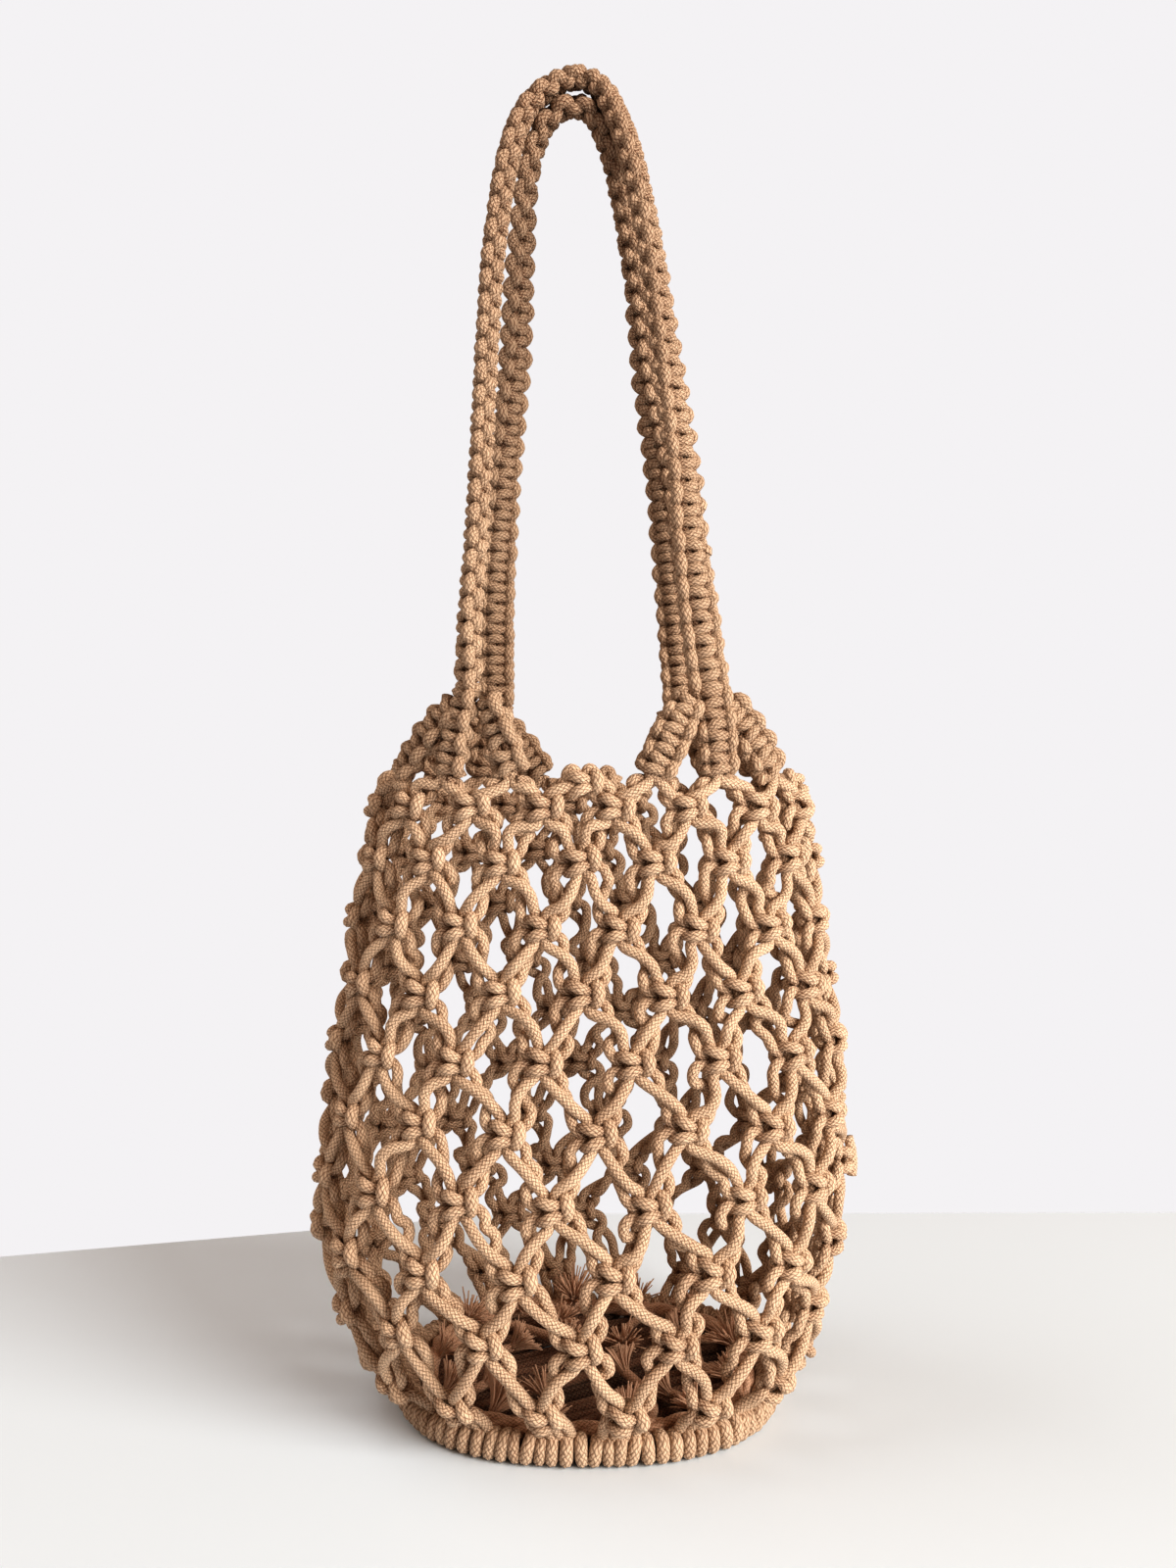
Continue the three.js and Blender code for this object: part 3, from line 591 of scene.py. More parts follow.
# the same cords where they start at the rim and where they run down into the base band
rimStarts = {
    "right": [(0.55, -0.38, 0.55, 0.84), (1.32, -0.52, -0.12, 0.86), (1.75, -0.95, -0.10, 1.0)],
    "left": [(-0.60, -0.40, -0.62, 0.85), (-1.30, -0.34, -0.05, 0.85), (-1.85, -0.60, 0.10, 1.0)],
    "rightFiller": [(0.12, 0.30, 0.05, 0.9), (0.20, -0.35, 0.10, 0.95), (0.55, -0.85, 0.25, 1.0)],
    "leftFiller": [(-0.28, 0.30, 0.0, 0.9), (-0.24, -0.35, 0.05, 0.95), (-0.52, -0.85, 0.20, 1.0)],
}
bandFeet = {
    "right": [(1.35, -1.00, 0.10, 0.95), (1.28, -2.20, 0.05, 1.0), (1.25, -4.00, -0.35, 1.0)],
    "left": [(-1.45, -1.00, 0.15, 0.95), (-1.38, -2.20, 0.05, 1.0), (-1.30, -4.00, -0.35, 1.0)],
    "rightFiller": [(0.36, -2.10, 0.15, 1.0), (0.40, -4.00, -0.30, 1.0)],
    "leftFiller": [(-0.36, -2.10, 0.15, 1.0), (-0.42, -4.00, -0.30, 1.0)],
}
fullShapes = {"right": rightCord, "left": leftCord,
              "rightFiller": rightFiller, "leftFiller": leftFiller}

linkShares = np.array([0.33, 0.67])[:, None]   # where a cord is bowed between two knots
rowCount = len(rowTable)
gapCount = 2 * perRow
jitter = {
    "shift": rng.uniform(-1, 1, (rowCount, perRow, 2)) * net["shift"] * cord,
    "turn": rng.uniform(-1, 1, (rowCount, perRow)) * math.radians(net["turn"]),
    "grow": 1 + rng.uniform(-1, 1, (rowCount, perRow)) * net["grow"],
}


def onKnot(row, knots, local):
    # places local points (cord widths) of the given knots of a row on the wall
    column = knots + (row % 2) / 2 - perRow / 2
    level = rowLevels[row]
    size = cord * jitter["grow"][row, knots][:, None]
    turn = jitter["turn"][row, knots][:, None]
    x = local[..., 0] * size
    y = local[..., 1] * size
    along = x * np.cos(turn) - y * np.sin(turn) + jitter["shift"][row, knots, 0][:, None]
    rise = x * np.sin(turn) + y * np.cos(turn) + jitter["shift"][row, knots, 1][:, None]
    out = local[..., 2] * size * net["thick"]
    share = wallShare(column, level)[:, None]
    return onWall(share, level, np.stack([along, rise, out], -1))


def outward(points):
    # rough outward direction of the wall at points near it
    flat = points[..., :2] / np.array([bag["bodyWidth"], bag["bodyDepth"]]) ** 2
    return unit(np.concatenate([flat, np.zeros_like(flat[..., :1])], -1))


def rowShape(row, key):
    # the cord's shape in a knot of this row: cut short at the rim, led into the band at the base
    if row == 0:
        return rimStarts[key]
    shape = fullShapes[key]
    if row == 1:
        shape = shape[1:]
    if row == rowCount - 1:
        shape = np.vstack([shape[:-1] if "Filler" in key else shape[:-3], bandFeet[key]])
    return shape


def netStrands(kind):
    # one cord in each gap between half columns: it is on the right of the knot that stands left
    # of the gap, then on the left of the next knot, down to the base; gives its points and its
    # thickness at each
    gaps = np.arange(gapCount)
    keys = ("rightFiller", "leftFiller") if kind == "filler" else ("right", "left")
    offset = net["front"] if kind == "filler" else -net["behind"]
    sweep = net["sweep"] if kind == "filler" else 0.0
    points, thick = [], []
    for row in range(rowCount):
        leftOfGap = (gaps - row) % 2 == 0
        knots = ((np.where(leftOfGap, gaps, gaps + 1) % gapCount) - row % 2) // 2
        local = np.where(leftOfGap[:, None, None], rowShape(row, keys[0]), rowShape(row, keys[1]))
        uneven = rng.uniform(-1, 1, local.shape) * [1, 1, 1, 0] * net["rough"]
        here = onKnot(row, knots, (local + uneven)[..., :3])
        if row > 0:
            above = points[-1][:, -1:]
            step = here[:, :1] - above
            middle = above + step * linkShares + step * [1, 1, 0] * sweep
            out = outward(middle)
            bow = rng.uniform(-1, 1, (gapCount, 1, 1)) * net["bow"] * unit(np.cross(step, out))
            wobble = rng.uniform(-1, 1, (gapCount, 1, 3)) * net["slack"]
            points.append(middle + (out * offset + bow + wobble) * cord)
            thick.append(np.full(middle.shape[:2], net["linkThick"]))
        points.append(here)
        thick.append(local[..., 3])
    return np.concatenate(points, axis=1), np.concatenate(thick, axis=1)


def cordRadius(path, share):
    # the cord's half thickness, a little uneven along its length
    wave = rng.uniform(0, 6.28, (len(path), 1)) + np.arange(path.shape[1]) * net["rippleTurn"]
    return cord * share * (1 + net["ripple"] * np.sin(wave))


def netTubes(kind):
    # smooth middle lines of one kind of net cord, with its radius and shade at each station
    points, thick = netStrands(kind)
    paths = smoothPaths(points, 3)
    thick = spreadEven(thick, 3)
    return paths, cordRadius(paths, net["radius"]) * thick, paintedCreaseShade(thick)


fillerPaths, fillerRadius, fillerShade = netTubes("filler")
knotPaths, knotRadius, knotShade = netTubes("working")
makePiece("netFillerCords", [tube(fillerPaths, fillerRadius, net["sides"], fillerShade)],
          netCotton, ("net_body",))
for label, first in (("Front", gapCount // 4), ("Back", 3 * gapCount // 4)):
    chosen = (first + np.arange(gapCount // 2)) % gapCount
    cords = tube(knotPaths[chosen], knotRadius[chosen], net["sides"], knotShade[chosen])
    makePiece(f"netKnotCords{label}", [cords], netCotton)


# handles and rim bands: chains of square knots carried along a line
sinnet = {
    "pitch": 9.9,        # mm from one knot to the next
    "wide": 0.80,        # across, in the same cord widths as the net's knots
    "thick": 0.60,
    "radius": 0.495,
    "sides": 10,
    "filler": 0.44,      # half thickness of the fillers, and their place beside the middle
    "beside": 0.45,
    "rough": 0.08,       # irregularity of the cords, in cord widths
    "topShadeFrom": 350.0,   # height from which the handles get a painted shade, darker towards their top
    "topShade": 0.72,
}
# along, up, out and thickness of one of the two knotted cords; the other is its half turn
sinnetLoop = np.array([
    (-1.64, 0.93, 0.42, 1.06), (-1.30, 0.46, 0.00, 0.86), (-0.60, 0.42, -0.78, 0.90),
    (0.30, 0.50, -0.98, 1.04), (1.10, 0.80, -0.35, 0.82), (1.46, 0.64, 0.44, 0.96),
    (1.60, 0.00, 0.90, 1.16), (1.46, -0.64, 0.44, 0.96), (1.10, -0.80, -0.35, 0.82),
    (0.30, -0.50, -0.98, 1.04), (-0.60, -0.42, -0.78, 0.90), (-1.30, -0.46, 0.00, 0.86),
    (-1.64, -0.93, 0.42, 1.06),
])


def sinnetStrands(knots):
    # the loop cord, its half-turned twin and two fillers, running down a chain of knots; y is in
    # knot pitches from the bottom
    places = np.arange(knots)[::-1] + 0.5
    loop = np.tile(sinnetLoop[:, :3], (knots, 1))
    bars = loop * [-1, 1, -1]
    for strand in (loop, bars):
        strand[:, 1] = strand[:, 1] * cord / sinnet["pitch"] + np.repeat(places, len(sinnetLoop))
    loop += rng.uniform(-1, 1, loop.shape) * [1, 0.4, 1] * sinnet["rough"]
    bars += rng.uniform(-1, 1, bars.shape) * [1, 0.4, 1] * sinnet["rough"]
    height = np.linspace(knots, 0, knots + 1)
    fillers = np.stack([np.stack([np.full(knots + 1, x), height, np.zeros(knots + 1)], -1)
                        for x in (-sinnet["beside"], sinnet["beside"])])
    return np.stack([loop, bars]), fillers


def carried(local, line, knots):
    # point = line(y) + x * side(y) + z * face(y), with y as a share of the line's length
    share = local[..., 1] / knots
    point, side, face = (lookUp(share, line["share"], line[key]) for key in ("point", "side", "face"))
    narrow = np.interp(share, line["share"], line["wide"])
    return (point + side * (local[..., :1] * narrow[..., None])
            + face * (local[..., 2:] * sinnet["thick"] * cord))


def lineOf(points, faces, wide, samples=400):
    # a smooth line by shares of its length, with the band's face and side directions along it
    curve = smoothPaths(points[None], 24)[0]
    length = np.concatenate([[0], np.cumsum(np.linalg.norm(np.diff(curve, axis=0), axis=1))])
    wanted = np.linspace(0, length[-1], samples)
    centre = lookUp(wanted, length, curve)
    face = lookUp(wanted, length[::24], faces)
    forward = unit(np.gradient(centre, axis=0))
    face = unit(face - forward * (face * forward).sum(1, keepdims=True))
    side = np.cross(forward, face)
    return {"share": wanted / length[-1], "point": centre, "side": side, "face": face,
            "wide": np.interp(wanted, np.linspace(0, length[-1], len(wide)), wide) * cord,
            "length": length[-1]}


def sinnetParts(line):
    # as many knots as fit the line, with a painted shade that darkens the handles towards their top
    knots = max(1, round(line["length"] / sinnet["pitch"]))
    strands, fillers = sinnetStrands(knots)
    paths = smoothPaths(carried(strands, line, knots), 3)
    inner = smoothPaths(carried(fillers, line, knots), 3)
    thick = spreadEven(np.tile(sinnetLoop[:, 3], (2, knots)), 3)
    radius = cordRadius(paths, sinnet["radius"]) * thick
    # painted shade: the handles darken from a set height up to their top
    topShadeSpan = bag["handleTop"] - sinnet["topShadeFrom"]
    topShade = np.clip((paths[..., 2] - sinnet["topShadeFrom"]) / topShadeSpan, 0, 1)
    return [tube(paths, radius, sinnet["sides"], paintedCreaseShade(thick) - sinnet["topShade"] * topShade),
            tube(inner, cord * sinnet["filler"], 6, np.zeros(2))]


# rise, side, depth, lean and turn along each handle, as in the CAD model
frontPath = np.array([
    (0.000, -1.000, -1.00, 0.0, -34), (0.130, -0.980, -0.98, 0.0, -16),
    (0.240, -0.935, -0.94, 0.0, -14), (0.350, -0.900, -0.87, 0.1, -10),
    (0.580, -0.840, -0.64, 0.4, -6), (0.690, -0.795, -0.51, 0.7, -6),
    (0.800, -0.720, -0.37, 0.9, -8), (0.885, -0.630, -0.24, 1.0, -14),
    (0.943, -0.512, -0.12, 1.0, -20), (0.983, -0.320, -0.03, 1.0, -26),
    (1.000, -0.090, 0.00, 1.0, -30), (0.980, 0.115, -0.03, 1.0, -30),
    (0.935, 0.230, -0.12, 1.0, -28), (0.880, 0.328, -0.24, 1.0, -26),
    (0.800, 0.425, -0.37, 0.9, -25), (0.690, 0.537, -0.51, 0.7, -29),
    (0.580, 0.625, -0.64, 0.4, -38), (0.350, 0.795, -0.87, 0.1, -55),
    (0.240, 0.850, -0.94, 0.0, -70), (0.130, 0.920, -0.98, 0.0, -84),
    (0.000, 1.020, -1.00, 0.0, -86),
])
backPath = np.array([
    (0.000, -0.880, 1.00, 0.0, 86), (0.170, -0.885, 0.96, 0.0, 80),
    (0.290, -0.855, 0.88, 0.0, 65), (0.400, -0.805, 0.77, 0.1, 48),
    (0.580, -0.680, 0.60, 0.4, 28), (0.690, -0.630, 0.48, 0.7, 20),
    (0.800, -0.575, 0.33, 0.9, 6), (0.862, -0.525, 0.23, 1.0, -6),
    (0.906, -0.458, 0.14, 1.0, -16), (0.939, -0.335, 0.05, 1.0, -24),
    (0.955, -0.130, 0.00, 1.0, -30), (0.945, 0.045, 0.04, 1.0, -30),
    (0.912, 0.160, 0.12, 1.0, -26), (0.866, 0.245, 0.22, 1.0, -20),
    (0.800, 0.328, 0.33, 0.9, -10), (0.690, 0.440, 0.48, 0.7, 0),
    (0.580, 0.515, 0.60, 0.4, 8), (0.400, 0.690, 0.77, 0.1, 28),
    (0.170, 0.830, 0.96, 0.0, 58), (0.000, 0.900, 1.00, 0.0, 80),
])


def handleLine(table):
    # centre from the table, face from the turn: 0 is edge-on from the front
    rise, side, depth, lean, turn = table.T
    points = np.stack([side * bag["legSpan"] / 2, depth * bag["legDepth"] / 2 - lean * bag["handleLean"],
                       bag["legHeight"] + rise * (bag["handleTop"] - bag["legHeight"])], -1)
    forward = unit(np.gradient(points, axis=0))
    edgeOn = unit(np.array([0, 1.0, 0]) - forward * forward[:, 1:2])
    faceOn = np.cross(edgeOn, forward)
    angle = np.radians(turn)[:, None]
    across = edgeOn * np.cos(angle) + faceOn * np.sin(angle)
    return lineOf(points, np.cross(forward, across), [sinnet["wide"]] * 2)


handlePaths = {"front": frontPath, "back": backPath}
handleLines = {which: handleLine(table) for which, table in handlePaths.items()}
# the column of the net under each leg, and the way round to its inner band
legs = {"front_left": (-2, 1), "front_right": (2, -1), "back_left": (10, -1), "back_right": (6, 1)}
fan = {
    "footLevel": 0.5,     # mm above the rim at which the knotted bands end
    "overlap": 2.0,       # how far the middle band runs up into the leg
    "narrow": 0.66,       # width of a side band at its head
    "bulge": 1.5,         # how far a band bows outward
}
# where the head of each side band lies from the foot of its leg: beside, outward of the bag and
# below it in mm, and its turn in degrees
headTable = {
    "front_left_inner": (8.5, 3.5, 1.5, 0), "front_left_outer": (5.5, -1.5, 4.0, 0),
    "front_right_inner": (9.0, 3.5, 1.5, 0), "front_right_outer": (6.5, -1.5, 3.0, 0),
    "back_left_inner": (3.5, 0.0, 9.0, 60), "back_left_outer": (7.0, -1.5, 1.5, 0),
    "back_right_inner": (5.5, 0.0, 4.0, -40), "back_right_outer": (7.0, -1.5, 1.5, 0),
}


def fanLine(column, head, headFace, wide):
    # from the net's rim up to the foot of a leg
    share = wallShare(np.array([float(column)]), 0.0)
    foot = onWall(share, fan["footLevel"], np.zeros((1, 3)))[0]
    out = wallOut(share, np.array([0.0]))[0]
    points = np.stack([foot, foot + (head - foot) * 0.5 + out * fan["bulge"], head])
    faces = np.stack([out, unit(out + headFace), headFace])
    return lineOf(points, faces, wide)


middleBands = {"front": [], "back": []}
for name, (column, turn) in legs.items():
    which, hand = name.split("_")
    end = 0 if hand == "left" else -1
    front = 1 if which == "front" else -1
    span, depth = handlePaths[which][end, 1:3]
    foot = np.array([span * bag["legSpan"] / 2, depth * bag["legDepth"] / 2, bag["legHeight"]])
    face = unit(handleLines[which]["face"][end] * [1, 1, 0])
    middle = fanLine(column, foot + [0, 0, fan["overlap"]], face, [sinnet["wide"]] * 2)
    middleBands[which] += sinnetParts(middle)
    for label, step in (("inner", 1), ("outer", -1)):
        beside, forward, below, twist = headTable[f"{name}_{label}"]
        head = foot + np.array([step * turn * front * beside, -front * forward, -below])
        spin = math.radians(twist)
        headFace = np.array([face[0] * math.cos(spin) - face[1] * math.sin(spin),
                             face[0] * math.sin(spin) + face[1] * math.cos(spin), 0])
        widths = [sinnet["wide"], sinnet["wide"], fan["narrow"]]
        line = fanLine(column + step * turn, head, headFace, widths)
        makePiece(f"rimBand_{name}_{label}", sinnetParts(line), handleCotton,
                  (f"rim_strap_{name}_{label}",))
for which in ("front", "back"):
    makePiece(f"handle{which.title()}", sinnetParts(handleLines[which]) + middleBands[which],
              handleCotton, (f"handle_{which}",))


# loop-topped knots between the legs
loopTop = np.array([
    (0.40, 0.10, 0.0), (0.40, 0.70, 0.05), (0.50, 1.15, 0.10), (0.86, 1.42, 0.12),
    (1.24, 1.15, 0.08), (1.32, 0.62, 0.0), (1.15, 0.20, 0.0),
])
rimLoop = {
    "down": np.array([0, -0.85, 0]),        # cord widths from the row's own level
    "right": np.array([0.78, 0.90, 1.0]),   # size of the right loop beside the left one
}
for name, knot in (("front", 8), ("right", 12), ("back", 0), ("left", 4)):
    pair = np.array([knot, knot])
    loops = np.stack([loopTop * rimLoop["right"], loopTop * [-1, 1, 1]])
    arcs = smoothPaths(onKnot(0, pair, loops + rimLoop["down"]), 3)
    body = np.stack([leftCord[2:13], rightCord[2:13]])
    cords = smoothPaths(onKnot(0, pair, body[..., :3] + rimLoop["down"]), 3)
    thick = cordRadius(cords, net["radius"]) * spreadEven(body[..., 3], 3)
    makePiece(f"rimKnot_{name}", [tube(arcs, cordRadius(arcs, net["radius"]), net["sides"]),
                                  tube(cords, thick, net["sides"])],
              netCotton, (f"rim_knot_{name}",))
print("rim and handles: made")


# base band: a ring wound with close turns
band = {
    "turns": 90,
    "thickness": 9.0,
    "slant": 0.5,         # mm of slant, how much that varies, and how much the turns' sizes do
    "slantRange": (-1, 2.2),
    "growRange": (0.94, 1.05),
    "unevenTop": 0.15,
    "uneven": 0.26,       # share by which a turn is wider or narrower than the others
    "square": 0.7,        # 1 gives an oval turn, less a squarer one
    "inset": 0.45,        # cord widths from a turn's middle line to its outside
    "topGap": 0.3,        # mm taken off half the band's height, and added to half its thickness
    "bulge": 0.6,
    "thin": 0.41,         # half thickness of a turn in cord widths, and its gain with width
    "gain": 0.16,
    "sides": 8,
}


def baseOval(inset):
    # even spots round an oval that far inside the base band's middle line, and its length
    half = np.array([bag["bandWidth"], bag["bandDepth"]]) / 2 - inset
    spots, length = ovalTable(half[:1], half[1:])
    return spots[0], length[0]


def onOval(spots, place):
    # points and outward directions at fractional places round an oval of even spots
    low = place.astype(int)
    part = (place - low)[..., None]
    point = spots[low] * (1 - part) + spots[low + 1] * part
    ahead = spots[(low + 2) % shareCount] - spots[(low - 2) % shareCount]
    return point, unit(np.stack([ahead[..., 1], -ahead[..., 0]], -1))


def bandParts():
    # each turn is a rounded upright loop round the ring, a little slanted
    width = rng.uniform(1 - band["uneven"], 1 + band["uneven"], band["turns"])
    share = np.cumsum(width) / width.sum()
    spots, total = baseOval(0)
    angle = np.linspace(0, 2 * np.pi, 25) + np.pi
    halfHeight = bag["bandHeight"] / 2 - band["topGap"]
    halfThick = band["thickness"] / 2 + band["bulge"]
    inset = cord * band["inset"]
    across, upward = np.cos(angle), np.sin(angle)
    out = np.sign(across) * np.abs(across) ** band["square"] * (halfThick - inset)
    rise = np.sign(upward) * np.abs(upward) ** band["square"] * (halfHeight - inset)
    slant = band["slant"] * rng.uniform(*band["slantRange"], (band["turns"], 1))
    shift = slant * upward - total * width[:, None] / width.sum() / 2
    spot, normal = onOval(spots, (share[:, None] + shift / total) * shareCount % shareCount)
    grow = rng.uniform(*band["growRange"], (band["turns"], 1))
    flat = spot + normal * (out * grow)[..., None]
    uneven = rng.uniform(-band["unevenTop"], band["unevenTop"], (band["turns"], 1))
    level = bag["bandHeight"] / 2 + rise + np.maximum(rise, 0) * uneven
    radius = cord * (band["thin"] + band["gain"] * width)[:, None] * np.ones_like(level)
    level = np.maximum(level, radius + 0.1)
    paths = np.concatenate([flat, level[..., None]], -1)
    return [tube(paths, radius, band["sides"])]


makePiece("baseBand", bandParts(), baseCotton, ("base_band",))


# floor: cords laid side by side across the base
floor = {
    "spacing": 5.6,
    "halfSpan": 70.0,     # how far out cords are laid, and how far along each is looked for
    "halfReach": 90.0,
    "shortest": 20,       # samples, of 721, that a cord has to have inside the oval
    "heading": 28.0,      # degrees the cords run from the width of the bag
    "inset": 6.0,
    "level": 3.1,
    "rise": 0.6,          # how far a cord may lie above or below the others
    "wave": 1.7,          # mm of sideways waviness; radians of it, and of the rise, along a cord
    "waves": (9, 7),
    "shade": (-0.8, 1.6),
    "radius": 0.49,
}


def floorParts():
    # a straight cord at each offset, cut where it meets the oval, with a faint wave
    heading = math.radians(floor["heading"])
    direction = np.array([math.cos(heading), math.sin(heading)])
    normal = np.array([-direction[1], direction[0]])
    half = np.array([bag["bandWidth"] / 2, bag["bandDepth"] / 2]) - floor["inset"]
    span, reach = floor["halfSpan"], floor["halfReach"]
    offsets = np.arange(-span, span + 0.1, floor["spacing"])
    travel = np.linspace(-reach, reach, 721)
    spots = offsets[:, None, None] * normal + travel[None, :, None] * direction
    inside = (np.abs(spots / half) ** bag["ovalPower"]).sum(-1) < 1
    kept = inside.sum(1) > floor["shortest"]
    first = travel[np.argmax(inside, axis=1)][kept]
    last = travel[::-1][np.argmax(inside[:, ::-1], axis=1)][kept]
    offsets = offsets[kept]
    share = np.linspace(0, 1, 17)
    along = first[:, None] + (last - first)[:, None] * share
    wave = floor["wave"] * np.sin(share * floor["waves"][0] + rng.uniform(0, 6.28, (len(offsets), 1)))
    flat = (offsets[:, None] + wave)[..., None] * normal + along[..., None] * direction
    own = rng.uniform(-1, 1, (len(offsets), 1))
    start = rng.uniform(0, 6.28, (len(offsets), 1))
    lift = own + 0.6 * np.sin(share * floor["waves"][1] + start)
    level = np.maximum(floor["level"] + floor["rise"] * lift, cord * 0.5)
    shade = rng.uniform(*floor["shade"], len(offsets))
    paths = np.concatenate([flat, level[..., None]], -1)
    return [tube(paths, cord * floor["radius"], 8, shade)]


makePiece("baseFloor", floorParts(), shadedFloorCotton, ("base_floor",))


# cord ends inside the base: a ring of tucked ends with frayed brushes on it
ends = {
    "ringInset": 8.8,     # from the middle of the band to the middle of the ring of ends
    "ringLevel": 9.0,
    "ringHalf": 1.92,     # how far the wound cords lie from the ring's middle line
    "windings": 11,
    "strandWidth": 1.0,
    "strands": 70,        # in each brush
    "neck": 6.0,          # length of unfrayed cord below a brush, and the brush's overlap on it
    "overlap": 1.5,
    "length": 17.0,       # neck and brush together, before the table's own factor
    "lowest": 6.0,        # level that no strand goes below
    "looseBrush": 11.0,   # length of the brush on a loose end
    "raise": 0.7,         # how steeply the loose ends' brushes point up
    "sag": 0.8,           # how far a loose end sinks between the ring and its brush
    "spread": 0.72,       # sideways splay of a brush's outer strands, as a share of their length
    "evenCut": 0.80,      # shortest strand of a brush, as a share of its longest
    "bend": 0.12,
    "tipPale": 0.9,       # how much paler the strands get towards their tips
    "ringCord": 0.42,     # half thickness of each kind of cord, and of a brush's root
    "neckCord": 0.45,
    "looseCord": 0.43,
    "root": 0.38,
}
# column round the bag, length, root size and inward lean of each brush
tuftTable = np.array([
    (-2.7, 0.9, 1.0, 40), (-1.6, 1.1, 0.9, 55), (-0.6, 0.7, 1.1, 50), (0.7, 1.0, 1.0, 45),
    (1.9, 0.8, 0.9, 55), (3.1, 1.0, 1.0, 40), (4.4, 1.1, 1.1, 35), (5.9, 0.9, 1.0, 30),
    (7.0, 1.2, 0.9, 35), (8.3, 1.1, 1.1, 25), (9.4, 0.8, 1.0, 40), (10.6, 1.0, 0.9, 35),
    (11.9, 0.9, 1.0, 45),
])
# loose ends that lie across the floor: the column round the bag where each leaves the ring, the
# place and level of its brush in mm, and how far it bows sideways
looseTable = np.array([
    (11.3, -34, 10, 11.0, 5), (5.3, 42, 24, 10.5, -6), (3.1, 50, -6, 10.0, 5),
    (9.2, -14, 38, 10.0, -5), (0.9, 16, -12, 10.5, 7), (14.0, -44, -22, 10.0, -6),
    (6.7, 16, 12, 11.0, 6), (10.2, -10, 14, 11.5, -5), (1.9, 34, -30, 10.0, 5),
    (15.2, -18, -32, 10.0, 6),
])
endsRing = baseOval(ends["ringInset"])[0]


def ringSpots(columns, level):
    # points on the ring of ends at the given columns round the bag
    place = (columns / perRow) % 1 * shareCount
    return np.concatenate([endsRing[place.astype(int)], np.full((len(columns), 1), level)], -1)


def brushes(start, axis, reach):
    # splayed bundles of thin strands: point = start + axis * travel + spoke * travel^1.6, cut
    # nearly even at the tips and paler there
    count, tufts = ends["strands"], len(start)
    side = unit(np.cross(axis, [0, 0.3, 1.0]))
    other = np.cross(axis, side)
    angle = rng.uniform(0, 2 * np.pi, (tufts, count))
    radius = np.sqrt(rng.uniform(0.02, 1, (tufts, count)))
    bend = rng.normal(0, ends["bend"], (tufts, count, 2))
    longer = rng.uniform(ends["evenCut"], 1.0, (tufts, count)) * reach
    travel = np.linspace(0, 1, 6)
    spoke = (np.cos(angle)[..., None] * side[:, None] + np.sin(angle)[..., None] * other[:, None])
    base = start[:, None] + spoke * (radius * cord * ends["root"])[..., None]
    drift = spoke * (radius * ends["spread"])[..., None]
    drift += bend[..., :1] * side[:, None] + bend[..., 1:] * other[:, None]
    strand = (base[:, :, None] + axis[:, None, None] * (travel[:, None] * longer[..., None, None])
              + drift[:, :, None] * (travel**1.6)[:, None] * longer[..., None, None])
    strand[..., 2] = np.maximum(strand[..., 2], ends["lowest"])
    strand = strand.reshape(tufts * count, 6, 3)
    thin = ends["strandWidth"] / 2 * np.linspace(1.0, 0.6, 6)[None] * np.ones((tufts * count, 1))
    shade = rng.uniform(0.1, 0.7, (tufts * count, 1)) + ends["tipPale"] * travel
    return tube(strand, thin, 4, shade)


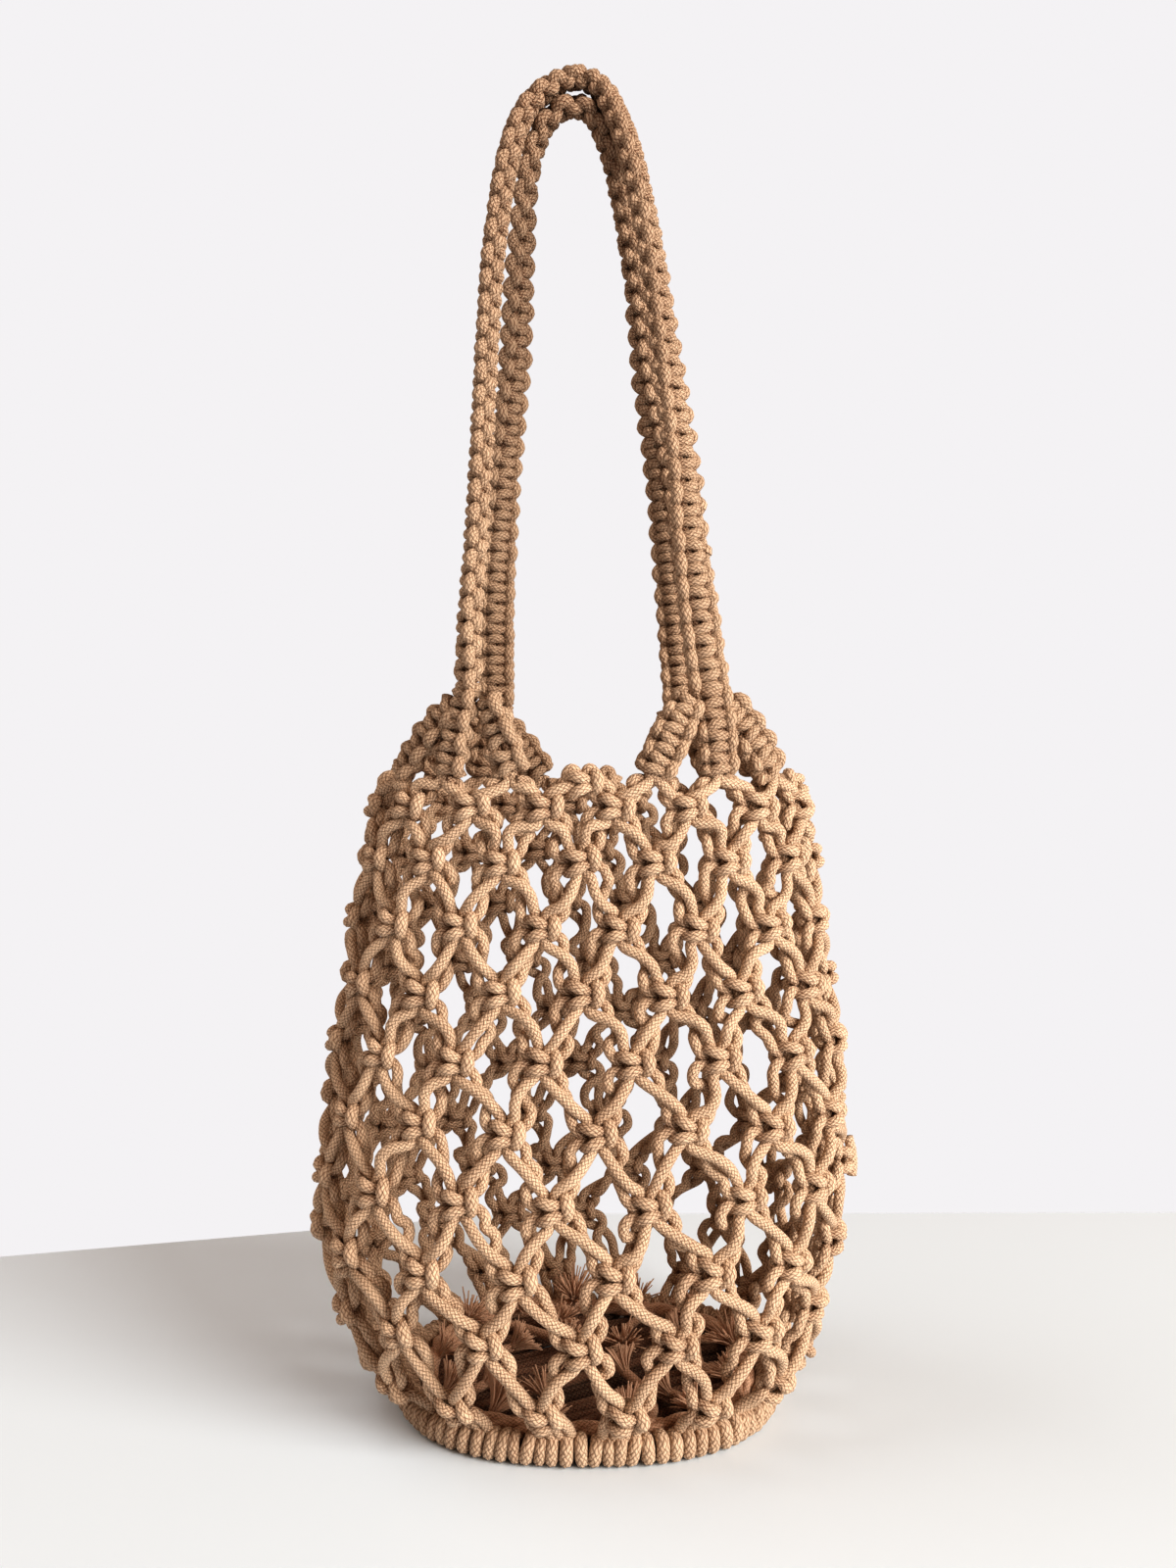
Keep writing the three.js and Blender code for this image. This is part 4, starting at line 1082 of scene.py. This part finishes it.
def endsParts():
    # three cords wound loosely round a ring, a short neck of cord with a brush at each tuft, and
    # loose ends that bow across the floor to their own brushes
    share = np.linspace(0, 1, 193)
    centre, normal = onOval(endsRing, share * (shareCount - 1e-6))
    phase = np.arange(3)[:, None] * 2 * np.pi / 3 + share * 2 * np.pi * ends["windings"]
    out, lift = np.cos(phase) * ends["ringHalf"], np.sin(phase) * ends["ringHalf"]
    wound = np.concatenate([centre + normal * out[..., None],
                            (ends["ringLevel"] + lift)[..., None]], -1)
    parts = [tube(wound, cord * ends["ringCord"], 8)]

    start = ringSpots(tuftTable[:, 0], ends["ringLevel"] - 1.0)
    lean = np.radians(tuftTable[:, 3])[:, None]
    axis = np.concatenate([-unit(start[:, :2]) * np.sin(lean), np.cos(lean)], -1)
    step = np.linspace(0, 1, 6)[None, :, None]
    neck = start[:, None] + axis[:, None] * step * ends["neck"]
    parts.append(tube(neck, cord * ends["neckCord"] * tuftTable[:, 2:3], 8))
    reach = (tuftTable[:, 1] * ends["length"] - ends["neck"] + ends["overlap"])[:, None]
    parts.append(brushes(start + axis * (ends["neck"] - ends["overlap"]), axis, reach))

    leave = ringSpots(looseTable[:, 0], ends["ringLevel"])
    tip = looseTable[:, 1:4]
    across = unit(np.cross(tip - leave, [0, 0, 1.0])) * looseTable[:, 4:5]
    sag = np.array([0, 0, ends["sag"]])
    lines = np.stack([leave, leave + (tip - leave) * 0.35 + across - sag,
                      leave + (tip - leave) * 0.75 + across * 0.7 - sag, tip], axis=1)
    lines = smoothPaths(lines, 6)
    axis = unit(unit(lines[:, -1] - lines[:, -3]) + [0, 0, ends["raise"]])
    parts.append(tube(lines, cord * ends["looseCord"], 8, rng.uniform(0.2, 0.9, len(lines))))
    parts.append(brushes(tip - axis, axis, ends["looseBrush"]))
    return parts


makePiece("cordEnds", endsParts(), fringeCotton, ("cord_ends",))


# the cut tail on the right side: mm from the middle of the CAD tail's box, at its top twice, its
# middle and its foot
tail = {
    "radius": 0.48,
    "shifts": np.array([(-1.2, 0, 1.5), (0, 0, -3), (0.6, -0.4, 0), (0.3, -0.8, 0.5)]),
}


def tailParts():
    # a short bent cord through the four points
    low, high = (np.array(corner) * 1000 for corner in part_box("side_tail"))
    middle = (low + high) / 2
    levels = (high[2], high[2], middle[2], low[2])
    points = np.array([(middle[0], middle[1], level) for level in levels]) + tail["shifts"]
    path = smoothPaths(points[None], 6)
    return [tube(path, cordRadius(path, tail["radius"]), net["sides"])]


makePiece("sideTail", tailParts(), netCotton, ("side_tail",))


# the table top, not part of the bag
def makeTable():
    # a flat top in metres, its far edge almost straight on the right and askew on the left
    wide, back, skew = view["tableHalf"], view["tableEnd"], view["tableSkew"]
    points = [(-wide, -wide, 0), (wide, -wide, 0), (wide, back + 0.02, 0), (-0.05, back, 0),
              (-wide, back - skew * wide, 0)]
    mesh = bpy.data.meshes.new("tableTop")
    mesh.from_pydata(points, [], [(0, 1, 2, 3, 4)])
    material = bpy.data.materials.new("palePaint")
    material.use_nodes = True
    shader = material.node_tree.nodes["Principled BSDF"]
    shader.inputs["Base Color"].default_value = (*studio["floor"], 1)
    shader.inputs["Roughness"].default_value = 0.55
    mesh.materials.append(material)
    addObject("tableTop", mesh)


makeTable()
